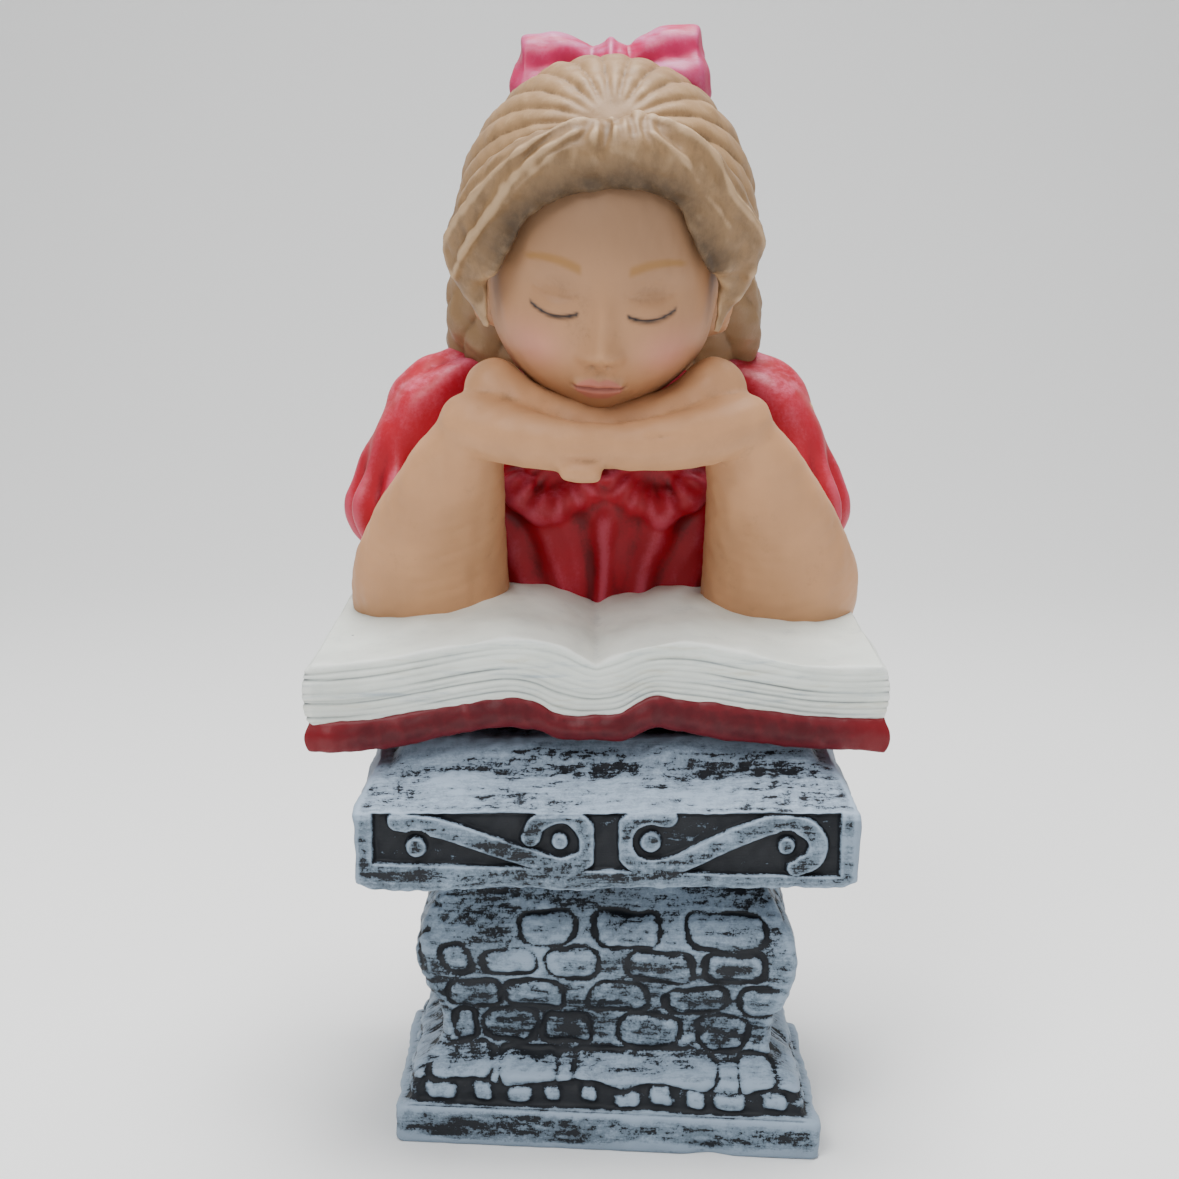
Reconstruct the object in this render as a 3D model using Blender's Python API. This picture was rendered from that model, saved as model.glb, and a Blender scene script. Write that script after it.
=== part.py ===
"""Garden statue of a girl reading: a painted concrete casting of a girl, an open book and a cobbled pedestal.

Metres, +Z up. The front faces -Y, and the origin is the centre of the underside of the plinth.
Girl, book, slab, column and plinth are cast in one, so they are one object.
"""

import bmesh
import bpy
import math
from mathutils import Matrix, Vector

NAME = "reading_girl_statue"

# Pedestal: heights of its levels, and half widths along X with the half depths along Y
PLINTH_TOP = 0.022
PLINTH_HALF = (0.1195, 0.070)
STEP_TOP = 0.030
STEP_INSET = 0.006
PLINTH_ROUNDING = 0.002
COLUMN_TOP = 0.164
COLUMN_NECK = 0.086
COLUMN_BULGE = 0.1065
COLUMN_BULGE_AT = 0.111
COLUMN_WAIST = 0.0925
COLUMN_WAIST_AT = 0.060
COLUMN_FOOT = 0.112
FOOT_FLARE = 0.008
COLUMN_SLIMMER_DEEP = 0.046

# The pedestal is cast a little turned under the slab, its right side to the front
TWIST = math.radians(5.5)
TWIST_FROM = 0.120

# Cobbles of the front: height of each row, then middle and half width of each cobble in it
FRONT_COBBLES = (
    (0.127, ((-0.0327, 0.0156), (0.0114, 0.0195), (0.0672, 0.0206))),
    (0.107, ((-0.0835, 0.0084), (-0.0539, 0.0151), (-0.0188, 0.0145), (0.0303, 0.0179), (0.0722, 0.0162))),
    (0.085, ((-0.0746, 0.0151), (-0.0394, 0.0173), (0.0069, 0.0162), (0.0510, 0.0179), (0.0884, 0.0100))),
    (0.064, ((-0.0790, 0.0067), (-0.0539, 0.0145), (-0.0221, 0.0140), (0.0248, 0.0156), (0.0666, 0.0145))),
    (0.044, ((-0.0818, 0.0120), (-0.0439, 0.0162), (0.0214, 0.0407), (0.0830, 0.0112))),
)

# Cobbles of the other sides: share of the width that each cobble of a row takes, the rows in turn
PLAIN_COBBLES = ((0.3, 0.4, 0.3), (0.52, 0.48))
COBBLE_HALF = 0.0085
COBBLE_GAP = 0.0035
COBBLE_RAISED = 0.0030
TOOTH_PITCH = 0.021
TOOTH_HALF = 0.006

# Slab between column and book
SLAB_HALF = 0.1355
SLAB_FRONT = -0.090
SLAB_BACK = 0.128
SLAB_LOW = 0.160
SLAB_HIGH = 0.206
SLAB_CROWN = 0.219
SLAB_CROWN_AT = -0.040
RELIEF = 0.003
BAND = 0.0085
LOOP_AT = 0.0245
LOOP = (0.0165, 0.0145)
END_BOSS_AT = 0.100

# Open book
BOOK_FRONT = -0.050
BOOK_BACK = 0.088
BOOK_HALF_FRONT = 0.160
BOOK_HALF_BACK = 0.151
COVER_FOOT = SLAB_CROWN + 0.007
PAGE_FOOT = COVER_FOOT + 0.018
PAGE_TOP_FRONT = PAGE_FOOT + 0.032
PAGE_TOP_BACK = PAGE_FOOT + 0.041
PAGE_HUMP = 0.013
PAGE_HUMP_AT = 0.30
PAGE_CORNER_DROP = 0.006
FOOT_ARCH = 0.012
LEAF_COUNT = 5
LEAF_STEP = 0.0014
LAYER_OVERLAP = 0.001
COVER_SUNK = 0.004

# Girl, with her heights over the pages' front level.
# The head's centre, its lean forward and to the side, and its half sizes
HEAD_AT = Vector((0.0, 0.040, 0.224))
HEAD_NOD = math.radians(15)
HEAD_ROLL = math.radians(3)
SKULL = Vector((0.066, 0.079, 0.090))
HAIR = Vector((0.084, 0.090, 0.093))
HAIR_LOCKS = 26
SHOULDER_AT = 0.149
DRESS_AT = 0.104
CHEST_FRONT = 0.060
PLEAT_SHARE = 0.04

# Arms: centre line and thickness, mirrored for the second one
ELBOW = Vector((0.113, 0.052, 0.027))
WRIST = Vector((0.062, 0.004, 0.126))
SHOULDER = Vector((0.112, 0.098, 0.122))
ELBOW_RADIUS = 0.038
WRIST_RADIUS = 0.019

# Melting of the girl's shapes: grain of the skin, and how fine it stays
WELD_GRAIN = 0.0022
GIRL_TRIANGLES = 5400

# Bow behind the crown
BOW_AT = Vector((0.003, 0.070, 0.317))
BOW_SPAN = 0.056
BOW_HEIGHT = 0.027


def clear_scene():
    for obj in list(bpy.data.objects):
        bpy.data.objects.remove(obj)


def paint(name, colour, roughness):
    material = bpy.data.materials.new(name)
    material.use_nodes = True
    shader = material.node_tree.nodes["Principled BSDF"]
    shader.inputs["Base Color"].default_value = (*colour, 1.0)
    shader.inputs["Roughness"].default_value = roughness
    shader.inputs["Metallic"].default_value = 0.0
    return material


def loft(name, rings):
    """Close a skin over rings of equally many points, the first and the last of them flat."""
    bm = bmesh.new()
    rows = [[bm.verts.new(point) for point in ring] for ring in rings]
    for lower, upper in zip(rows, rows[1:]):
        for i in range(len(lower)):
            j = (i + 1) % len(lower)
            bm.faces.new((lower[i], lower[j], upper[j], upper[i]))
    bm.faces.new(rows[0])
    bm.faces.new(rows[-1])
    bmesh.ops.recalc_face_normals(bm, faces=bm.faces)
    return finish_mesh(name, bm)


def finish_mesh(name, bm):
    mesh = bpy.data.meshes.new(name)
    bm.to_mesh(mesh)
    bm.free()
    obj = bpy.data.objects.new(name, mesh)
    bpy.context.collection.objects.link(obj)
    return obj


def globe(name, point, rows, columns, crowd=0.0):
    """Close a skin over point(direction) for directions round a sphere, poles at top and bottom.

    crowd draws the columns together towards the front.
    """
    bm = bmesh.new()
    rounds = [2 * math.pi * c / columns for c in range(columns)]
    rounds = [angle - crowd * math.sin(angle) - math.pi / 2 for angle in rounds]
    lines = []
    for r in range(1, rows):
        polar = math.pi * r / rows
        ring = [(math.sin(polar) * math.cos(angle), math.sin(polar) * math.sin(angle), math.cos(polar))
                for angle in rounds]
        lines.append([bm.verts.new(point(Vector(way))) for way in ring])
    top = bm.verts.new(point(Vector((0, 0, 1))))
    bottom = bm.verts.new(point(Vector((0, 0, -1))))
    for upper, lower in zip(lines, lines[1:]):
        for i in range(columns):
            j = (i + 1) % columns
            bm.faces.new((upper[i], lower[i], lower[j], upper[j]))
    for i in range(columns):
        j = (i + 1) % columns
        bm.faces.new((top, lines[0][i], lines[0][j]))
        bm.faces.new((bottom, lines[-1][j], lines[-1][i]))
    bmesh.ops.recalc_face_normals(bm, faces=bm.faces)
    return finish_mesh(name, bm)


def ball(name, centre, radii, turn=Matrix.Identity(3), rows=12, columns=16):
    return globe(name, lambda way: centre + turn @ Vector(w * r for w, r in zip(way, radii)), rows, columns)


def limb(name, path, radii, columns=16):
    """A tube of changing thickness along a path, with rounded ends."""
    rings = []
    for k, (centre, radius) in enumerate(zip(path, radii)):
        ahead = path[min(k + 1, len(path) - 1)] - path[max(k - 1, 0)]
        turn = ahead.to_track_quat("Z", "Y")
        wide, thick = radius if isinstance(radius, tuple) else (radius, radius)
        ends = ((0.55, -0.6), (0.85, -0.3), (1.0, 0.0)) if k == 0 else ((1.0, 0.0),)
        ends = ((1.0, 0.0), (0.85, 0.3), (0.55, 0.6)) if k == len(path) - 1 else ends
        for share, slide in ends:
            ring = []
            for c in range(columns):
                angle = 2 * math.pi * c / columns
                spoke = Vector((wide * share * math.cos(angle), thick * share * math.sin(angle), slide * thick))
                ring.append(centre + turn @ spoke)
            rings.append(ring)
    return loft(name, rings)


def apply_modifiers(obj):
    depsgraph = bpy.context.evaluated_depsgraph_get()
    finished = bpy.data.meshes.new_from_object(obj.evaluated_get(depsgraph))
    obj.modifiers.clear()
    obj.data = finished


def union(target, *others):
    """Join the others onto the target, as one closed skin."""
    for other in others:
        boolean = target.modifiers.new("union", "BOOLEAN")
        boolean.operation = "UNION"
        boolean.object = other
        apply_modifiers(target)
        bpy.data.objects.remove(other)
    return target


def weld(name, objects, triangles):
    """Melt shapes that run into each other into one skin, with soft joints, of about so many triangles."""
    welded = group(name, objects)
    remesh = welded.modifiers.new("melt", "REMESH")
    remesh.mode = "VOXEL"
    remesh.voxel_size = WELD_GRAIN
    apply_modifiers(welded)
    fill_hollows(welded)
    decimate = welded.modifiers.new("thin out", "DECIMATE")
    decimate.ratio = triangles / (2 * len(welded.data.polygons))
    apply_modifiers(welded)
    return welded


def group(name, objects):
    """Put the meshes of separate shapes that don't touch each other into one object."""
    bm = bmesh.new()
    for obj in objects:
        bm.from_mesh(obj.data)
        bpy.data.objects.remove(obj)
    return finish_mesh(name, bm)


def fill_hollows(obj):
    """Keep only the outer skin, because the casting is solid wherever its parts close off a space."""
    bm = bmesh.new()
    bm.from_mesh(obj.data)
    left = set(bm.verts)
    skins = []
    while left:
        skin, front = set(), [left.pop()]
        while front:
            vert = front.pop()
            skin.add(vert)
            near = {edge.other_vert(vert) for edge in vert.link_edges} & left
            left -= near
            front.extend(near)
        skins.append(skin)
    skins.sort(key=len)
    bmesh.ops.delete(bm, geom=[vert for skin in skins[:-1] for vert in skin], context="VERTS")
    bm.to_mesh(obj.data)
    bm.free()


def blend(value, low, high):
    """0 below low, 1 above high, and a soft rise between them."""
    share = min(max((value - low) / (high - low), 0.0), 1.0)
    return share * share * (3 - 2 * share)


def bump(x, z, at, size):
    return math.exp(-((x - at[0]) / size[0]) ** 2 - ((z - at[1]) / size[1]) ** 2)


def column_half(z):
    """Half width of the column at a height: flared foot, waist, bulge and neck."""
    levels = ((STEP_TOP, COLUMN_FOOT), (STEP_TOP + FOOT_FLARE, COLUMN_FOOT - 0.003),
              (COLUMN_WAIST_AT - FOOT_FLARE, COLUMN_WAIST + 0.001), (COLUMN_WAIST_AT, COLUMN_WAIST),
              (COLUMN_BULGE_AT, COLUMN_BULGE), (COLUMN_TOP, COLUMN_NECK))
    for (low, start), (high, end) in zip(levels, levels[1:]):
        if z <= high:
            return start + (end - start) * blend(z, low, high)
    return COLUMN_NECK


def rectangle(half_x, half_y, z):
    return [(-half_x, -half_y, z), (half_x, -half_y, z), (half_x, half_y, z), (-half_x, half_y, z)]


def pedestal():
    wide, deep = PLINTH_HALF
    rings = [rectangle(wide, deep, 0.0), rectangle(wide, deep, PLINTH_TOP - PLINTH_ROUNDING)]
    rings.append(rectangle(wide - PLINTH_ROUNDING, deep - PLINTH_ROUNDING, PLINTH_TOP))
    rings.append(rectangle(wide - STEP_INSET, deep - STEP_INSET, PLINTH_TOP + PLINTH_ROUNDING / 2))
    steps = 9
    for k in range(steps + 1):
        z = STEP_TOP + (COLUMN_TOP - STEP_TOP) * k / steps
        half = column_half(z)
        rings.append(rectangle(half, half - COLUMN_SLIMMER_DEEP, z))
    return loft("pedestal", rings)


def squarish(share):
    """Pushes a circle's points out towards a square's."""
    return math.copysign(abs(share) ** 0.7, share)


def cobble(centre, half_length, half_height, side):
    """One flat-topped cobble, square with rounded corners, on one of the column's four sides."""
    rings = []
    for share, rise in ((1.0, -0.004), (0.82, COBBLE_RAISED)):
        ring = []
        for c in range(8):
            angle = math.pi / 8 + math.pi * c / 4
            across, up = squarish(math.cos(angle)), squarish(math.sin(angle))
            along = centre[0] + share * half_length * across
            z = centre[1] + share * half_height * up
            half = column_half(z)
            out = (half - COLUMN_SLIMMER_DEEP if side in ("front", "back") else half) + rise
            ring.append({"front": (along, -out, z), "back": (-along, out, z),
                         "right": (out, along, z), "left": (-out, -along, z)}[side])
        rings.append(ring)
    return loft("cobble", rings)


def cobbles(side):
    """Rows of cobbles on one side of the column, with the joints of neighbouring rows offset."""
    made = []
    for row, (z, placed) in enumerate(FRONT_COBBLES):
        if side != "front":
            placed = plain_row(side, z, PLAIN_COBBLES[row % len(PLAIN_COBBLES)])
        for middle, half in placed:
            made.append(cobble((middle, z), half, COBBLE_HALF, side))
    return made


def plain_row(side, z, shares):
    """Middle and half width of each cobble in a row of one of the plainer sides."""
    half = column_half(z) - COBBLE_GAP
    if side in ("left", "right"):
        half -= COLUMN_SLIMMER_DEEP
    placed = []
    along = -half
    for share in shares:
        length = 2 * half * share
        placed.append((along + length / 2, (length - COBBLE_GAP) / 2))
        along += length
    return placed


def teeth():
    """Blocks along the foot of the column, under the lowest row of cobbles."""
    made = []
    count = int(2 * (COLUMN_FOOT - TOOTH_HALF) / TOOTH_PITCH)
    half = 0.38 * TOOTH_PITCH
    for k in range(count):
        x = (k - (count - 1) / 2) * TOOTH_PITCH
        for side in (-1, 1):
            y = side * (COLUMN_FOOT - COLUMN_SLIMMER_DEEP)
            near, far = y - COBBLE_RAISED, y + COBBLE_RAISED
            outline = ((x - half, near), (x + half, near), (x + half, far), (x - half, far))
            made.append(loft("tooth", [[(*corner, z) for corner in outline]
                                       for z in (STEP_TOP - TOOTH_HALF, STEP_TOP + TOOTH_HALF)]))
    return made


def slab():
    """Slab with rounded lower edges and a top that rises from the front edge to under the book."""
    corner = 0.006
    rings = []
    for x in (-SLAB_HALF, -SLAB_HALF + corner, SLAB_HALF - corner, SLAB_HALF):
        drop = corner if abs(x) == SLAB_HALF else 0.0
        front = SLAB_FRONT + RELIEF
        rings.append([(x, front + drop / 2, SLAB_LOW + drop), (x, front + drop / 2, SLAB_HIGH - 0.001),
                      (x, front + RELIEF + drop / 2, SLAB_HIGH), (x, SLAB_CROWN_AT, SLAB_CROWN),
                      (x, SLAB_BACK, SLAB_CROWN), (x, SLAB_BACK, SLAB_LOW + drop)])
    return loft("slab", rings)


def front_plate(name, outline):
    """Raised plate on the slab's front, with its outline in x and z, running counter-clockwise."""
    return loft(name, [[(x, y, z) for x, z in outline] for y in (SLAB_FRONT, SLAB_FRONT + 2.5 * RELIEF)])


def bar(start, end, width=BAND):
    """Straight raised band between two places on the slab's front."""
    along = (Vector(end) - Vector(start)).normalized() * width / 2
    across = Vector((-along.y, along.x))
    corners = (Vector(start) - across, Vector(end) - across, Vector(end) + across, Vector(start) + across)
    return front_plate("bar", [tuple(corner) for corner in corners])


def arc_band(centre, radii, width, start, end, pieces=12):
    """Curved raised band round a place on the slab's front, from one angle to another in degrees."""
    angles = [math.radians(start + (end - start) * k / pieces) for k in range(pieces + 1)]
    across, up = radii
    outer = [(centre[0] + across * math.cos(a), centre[1] + up * math.sin(a)) for a in angles]
    across, up = across - width, up - width
    inner = [(centre[0] + across * math.cos(a), centre[1] + up * math.sin(a)) for a in reversed(angles)]
    return front_plate("arc", outer + inner)


def boss(centre, radius, pieces=12):
    return front_plate("boss", [(centre[0] + radius * math.cos(2 * math.pi * k / pieces),
                                 centre[1] + radius * math.sin(2 * math.pi * k / pieces)) for k in range(pieces)])


def scrollwork():
    """The slab's front: a rim, two round loops beside the middle, sloping bands and a boss at each end."""
    middle = (SLAB_LOW + SLAB_HIGH) / 2 + 0.004
    reach = SLAB_HALF - 0.004
    rim = [bar((-reach, SLAB_HIGH - 0.0035), (reach, SLAB_HIGH - 0.0035), 0.006),
           bar((-reach, SLAB_LOW + 0.006), (reach, SLAB_LOW + 0.006), 0.011)]
    end = SLAB_HALF - 0.009
    ends = [bar((side * end, SLAB_LOW + 0.004), (side * end, SLAB_HIGH - 0.002), 0.014) for side in (-1, 1)]
    loops = [arc_band((-LOOP_AT, middle), LOOP, BAND * 0.75, 20, 340),
             arc_band((LOOP_AT, middle), LOOP, BAND * 0.75, 200, 520)]
    slopes = [bar((side * 0.037, middle - 0.009), (side * 0.086, middle + 0.009)) for side in (-1, 1)]
    bosses = [boss((-END_BOSS_AT, middle), 0.0072), boss((END_BOSS_AT, middle), 0.0062),
              boss((-LOOP_AT, middle), 0.0055), boss((LOOP_AT, middle), 0.0062)]
    hooks = [arc_band((END_BOSS_AT, middle), (0.018, 0.014), 0.006, -60, 120)]
    return [rim, ends, loops, slopes, bosses, hooks]


def book_half(y):
    share = (y - BOOK_FRONT) / (BOOK_BACK - BOOK_FRONT)
    return BOOK_HALF_FRONT + (BOOK_HALF_BACK - BOOK_HALF_FRONT) * share


def page_level(share, y):
    """Height of the open pages at a share of the half width: a hump each side of the gutter."""
    side = abs(share)
    rise = (y - BOOK_FRONT) / (BOOK_BACK - BOOK_FRONT)
    level = PAGE_TOP_FRONT + (PAGE_TOP_BACK - PAGE_TOP_FRONT) * rise
    hump = math.sin(math.pi / 2 * min(side / PAGE_HUMP_AT, 1.0)) * (1 - blend(side, PAGE_HUMP_AT, 1.0))
    return level + PAGE_HUMP * hump - PAGE_CORNER_DROP * blend(side, 0.93, 1.0)


def foot_level(share, level):
    """Height of the cover's or the block's lower edge: a low arch beside the spine."""
    side = abs(share)
    return level + FOOT_ARCH * (math.exp(-((side - 0.27) / 0.14) ** 2) - blend(side, 0.5, 1.0) / 6)


def book_layer(name, top, bottom, y_front, y_back, widen=0.0, columns=14):
    """A layer of the book between two curved levels, each a function of the share of the half width and y."""
    shares = [-1 + 2 * k / columns for k in range(columns + 1)]
    rings = []
    for y in (y_front, (y_front + y_back) / 2, y_back):
        half = book_half(y) + widen
        upper = [(share * half, y, top(share, y)) for share in shares]
        lower = [(share * half, y, bottom(share, y)) for share in reversed(shares)]
        middle = [(side * (half + 0.002), y, (top(side, y) + bottom(side, y)) / 2) for side in (1, -1)]
        rings.append(upper + middle[:1] + lower + middle[1:])
    return loft(name, rings)


def book():
    """Block of pages over the cover, with the leaves' front edges stepped."""
    cover = book_layer("cover", lambda s, y: foot_level(s, PAGE_FOOT) + LAYER_OVERLAP,
                       lambda s, y: foot_level(s, COVER_FOOT) - COVER_SUNK, BOOK_FRONT + LAYER_OVERLAP, BOOK_BACK,
                       -2 * LAYER_OVERLAP)
    made = [cover]
    for leaf in range(LEAF_COUNT):
        low, high = leaf / LEAF_COUNT, (leaf + 1) / LEAF_COUNT

        def level(share, y, part):
            foot = foot_level(share, PAGE_FOOT)
            return foot + (page_level(share, y) - foot) * part

        front = BOOK_FRONT + (LEAF_STEP if leaf % 2 else 0.0)
        made.append(book_layer("leaf", lambda s, y, part=high: level(s, y, part),
                               lambda s, y, part=low: level(s, y, part) - LAYER_OVERLAP, front,
                               BOOK_BACK - 0.4 * LAYER_OVERLAP * leaf, -LEAF_STEP if leaf % 2 else 0.0))
    return made


def head_turn():
    return Matrix.Rotation(HEAD_ROLL, 3, "Y") @ Matrix.Rotation(HEAD_NOD, 3, "X")


def face_relief(x, z):
    """How far a calm, evenly built child's face stands out from the egg-shaped head at a place."""
    eye = 0.40 * SKULL.x
    side = abs(x)
    out = 0.0105 * bump(x, z, (0, -0.036), (0.0085, 0.0085))
    out += 0.0060 * bump(x, z, (0, -0.020), (0.0065, 0.0150))
    out += 0.0035 * bump(side, z, (0.0080, -0.039), (0.0050, 0.0048))
    out -= 0.0060 * bump(side, z, (eye, -0.008), (0.0130, 0.0100))
    out += 0.0052 * bump(side, z, (eye, -0.012), (0.0100, 0.0065))
    out += 0.0050 * bump(side, z, (0.036, -0.038), (0.0180, 0.0170))
    out += 0.0040 * bump(x, z, (0, -0.0565), (0.0120, 0.0034))
    out += 0.0046 * bump(x, z, (0, -0.0650), (0.0100, 0.0040))
    out -= 0.0030 * bump(x, z, (0, -0.0608), (0.0150, 0.0016))
    out += 0.0060 * bump(x, z, (0, -0.082), (0.0140, 0.0110))
    return out


def head():
    turn = head_turn()

    def point(way):
        spot = Vector((way.x * SKULL.x, way.y * SKULL.y, way.z * SKULL.z))
        jaw = blend(-spot.z, 0.030, 0.090)
        spot.x *= 1 - 0.20 * jaw
        if way.y < 0:
            spot.y -= face_relief(spot.x, spot.z) * blend(-way.y, 0.15, 0.6)
        return HEAD_AT + turn @ spot

    return globe("head", point, 60, 60, 0.5)


def hairline(x):
    """Height of the hair's lower edge over the forehead, in the head's own frame."""
    return 0.048 - 0.043 * (abs(x) / 0.060) ** 2.2


def fringe_edge(x):
    """Height where the rolled fringe ends and the combed hair of the crown begins."""
    return 0.087 - 0.054 * (abs(x) / 0.068) ** 1.3


def hair():
    turn = head_turn()

    def point(way):
        angle = math.atan2(way.y, way.x)
        locks = abs(math.sin(HAIR_LOCKS / 2 * angle))
        spot = Vector((way.x * HAIR.x, way.y * HAIR.y, way.z * HAIR.z)) + Vector((0, 0.010, 0.008))
        low = blend(-way.z, 0.2, 0.9)
        spot.x *= 1 + 0.06 * blend(-spot.z, 0.0, 0.04) - 0.25 * low
        brow = Vector((way.x * SKULL.x, way.y * SKULL.y, way.z * SKULL.z))
        edge = fringe_edge(brow.x)
        fringe = blend(-way.y, 0.0, 0.3) * (1 - blend(brow.z, edge - 0.004, edge + 0.004))
        spot *= 1 + 0.030 * locks * (1 - way.z ** 8) + 0.050 * fringe
        if way.y < -0.12 and brow.z < hairline(brow.x) and abs(brow.x) < 0.063:
            spot = brow * 0.85
        return HEAD_AT + turn @ spot

    return globe("hair", point, 48, 4 * HAIR_LOCKS)


def hair_back():
    """Hair falling behind the neck onto the shoulders."""
    rings = []
    for z, half, depth, y in ((0.099, 0.060, 0.020, 0.128), (0.116, 0.074, 0.030, 0.126),
                              (0.144, 0.087, 0.040, 0.116), (0.174, 0.095, 0.048, 0.104),
                              (0.204, 0.090, 0.052, 0.094), (0.244, 0.066, 0.044, 0.084)):
        ring = []
        for c in range(24):
            angle = 2 * math.pi * c / 24
            lock = 1 + 0.05 * abs(math.sin(6 * angle))
            ring.append((half * lock * math.cos(angle), y + depth * lock * math.sin(angle), z))
        rings.append(ring)
    return loft("hair_back", rings)


def dress():
    """Body of the dress, from inside the slab behind the book up to the neck."""
    rings = []
    hidden_end = SLAB_CROWN - 0.01 - PAGE_TOP_FRONT
    for z, half, depth in ((hidden_end, 0.098, 0.036), (-0.014, 0.090, 0.036), (0.024, 0.096, 0.040),
                           (0.074, 0.112, 0.046), (0.109, 0.122, 0.044), (0.132, 0.116, 0.038),
                           (SHOULDER_AT, 0.088, 0.032), (0.166, 0.050, 0.028), (0.194, 0.030, 0.026)):
        ring = []
        for c in range(24):
            angle = 2 * math.pi * c / 24
            fold = 1 + PLEAT_SHARE * math.cos(12 * angle)
            ring.append((half * fold * math.cos(angle), DRESS_AT + depth * fold * math.sin(angle), z))
        rings.append(ring)
    return loft("dress", rings)


def swag(side):
    """One of the two round gathers over the chest, above the pleats."""
    deep = CHEST_FRONT + 0.0007 * side
    level = 0.074 + 0.0011 * side
    path = [Vector((side * (0.006 + 0.046 * math.sin(t)), deep, level - 0.026 * math.sin(2 * t)))
            for t in (0.0, 0.4, 0.8, 1.2, 1.55)]
    return limb("swag", path, [(0.008, 0.010)] * 5, 8)


def mirror(spot, side):
    return Vector((spot.x * side, spot.y, spot.z))


def sleeve(side):
    """Short sleeve with a flared hem round the upper arm."""
    path = [Vector((0.088, 0.104, 0.136)), Vector((0.108, 0.100, 0.120)), Vector((0.124, 0.096, 0.090)),
            Vector((0.131, 0.092, 0.062))]
    return limb("sleeve", [mirror(spot, side) for spot in path], [0.026, 0.033, 0.033, 0.036], 14)


def arm(side):
    """Upper arm and raised forearm, resting on the elbow."""
    knee = mirror(ELBOW, side)
    above = ELBOW + Vector((0.006, 0.020, 0.030))
    upper = limb("upper_arm", [mirror(SHOULDER, side), mirror(above, side), knee], [0.026, 0.031, ELBOW_RADIUS])
    middle = ELBOW.lerp(WRIST, 0.5) + Vector((0.006, 0.0, 0.002))
    fore = limb("forearm", [knee, mirror(middle, side), mirror(WRIST, side)],
                [(ELBOW_RADIUS, 0.034), (0.033, 0.030), (WRIST_RADIUS + 0.006, WRIST_RADIUS)])
    path = [Vector((0.092, 0.070, 0.006)), Vector((0.087, 0.056, 0.059)), Vector((0.072, 0.030, 0.116))]
    inner = limb("inner_arm", [mirror(spot, side) for spot in path],
                 [(0.032, 0.034), (0.029, 0.032), (0.020, 0.024)])
    return [upper, fore, inner]


def hand(side, level, forward):
    """One hand, flat across the front under the chin, with four fingers side by side."""
    palm = limb("palm", [mirror(WRIST, side), mirror(Vector((0.034, -0.012, level)), side),
                         mirror(Vector((0.004, forward, level - 0.001)), side)],
                [(0.020, 0.017), (0.020, 0.014), (0.018, 0.012)])
    made = [palm]
    for finger in range(4):
        z = level + 0.0125 - 0.0085 * finger
        start = mirror(Vector((0.012, forward - 0.005, z)), side)
        end = mirror(Vector((-0.030 + 0.003 * abs(finger - 1), forward + 0.002, z - 0.002)), side)
        made.append(limb("finger", [start, end], [0.0052, 0.0045], 6))
    return made


def bow_lobe(side):
    """One loop of the bow, folds running out from the knot."""
    rings = []
    for share in (-0.07 - 0.02 * side, 0.3, 0.7, 0.93, 1.0):
        open_by = 0.60 + 0.40 * blend(share, 0.0, 0.6)
        close = 1 - 0.45 * blend(share, 0.85, 1.0)
        ring = []
        for c in range(16):
            angle = 2 * math.pi * c / 16
            fold = 1 + 0.06 * math.cos(4 * angle)
            ring.append(BOW_AT + Vector((side * BOW_SPAN * share, 0.020 * fold * close * open_by * math.cos(angle),
                                         BOW_HEIGHT * fold * close * open_by * math.sin(angle))))
        rings.append(ring)
    return loft("bow_lobe", rings)


def twist(obj):
    """Turn the pedestal under the slab, softly ending at the slab's underside."""
    for vert in obj.data.vertices:
        vert.co.y -= vert.co.x * math.tan(TWIST) * (1 - blend(vert.co.z, TWIST_FROM, SLAB_LOW))


def pedestal_with_book():
    base = pedestal()
    for side in ("front", "back", "left", "right"):
        union(base, group("cobbles", cobbles(side)))
    union(base, group("teeth", teeth()))
    twist(base)
    union(base, slab())
    for part in scrollwork():
        union(base, *part)
    return union(base, *book())


def girl():
    """Dress, head, hair, bow, arms and hands, melted into one form."""
    shapes = [dress(), hair_back(), head(), hair(), ball("knot", BOW_AT, (0.012, 0.024, 0.023))]
    shapes += hand(1, 0.113, -0.016) + hand(-1, 0.115, -0.022)
    for side in (-1, 1):
        shapes += arm(side) + [sleeve(side), bow_lobe(side), swag(side)]
        shapes.append(ball("ear", mirror(Vector((0.068, 0.044, 0.182)), side), (0.008, 0.013, 0.019)))
    welded = weld("girl", shapes, GIRL_TRIANGLES)
    welded.data.transform(Matrix.Translation((0, 0, PAGE_TOP_FRONT)))
    return welded


def build_statue():
    statue = union(pedestal_with_book(), girl())
    fill_hollows(statue)
    statue.name = NAME
    statue.data.materials.clear()
    statue.data.materials.append(paint("painted_concrete", (0.42, 0.46, 0.52), 0.6))
    statue.data.shade_smooth()
    statue.data.set_sharp_from_angle(angle=math.radians(35))
    return statue


clear_scene()
build_statue()
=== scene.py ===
"""Painted concrete garden statue of a girl reading, dressed over its frame, as a Blender add-on.

Metres, +Z up, the front facing -Y, the origin at the centre of the underside of the plinth.
Every paint of the casting is a piece: pedestal, slab, cover, pages, dress, arms, head, hair and bow.
"""

import math
import bpy
import numpy as np
from mathutils import Matrix, Vector


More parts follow.
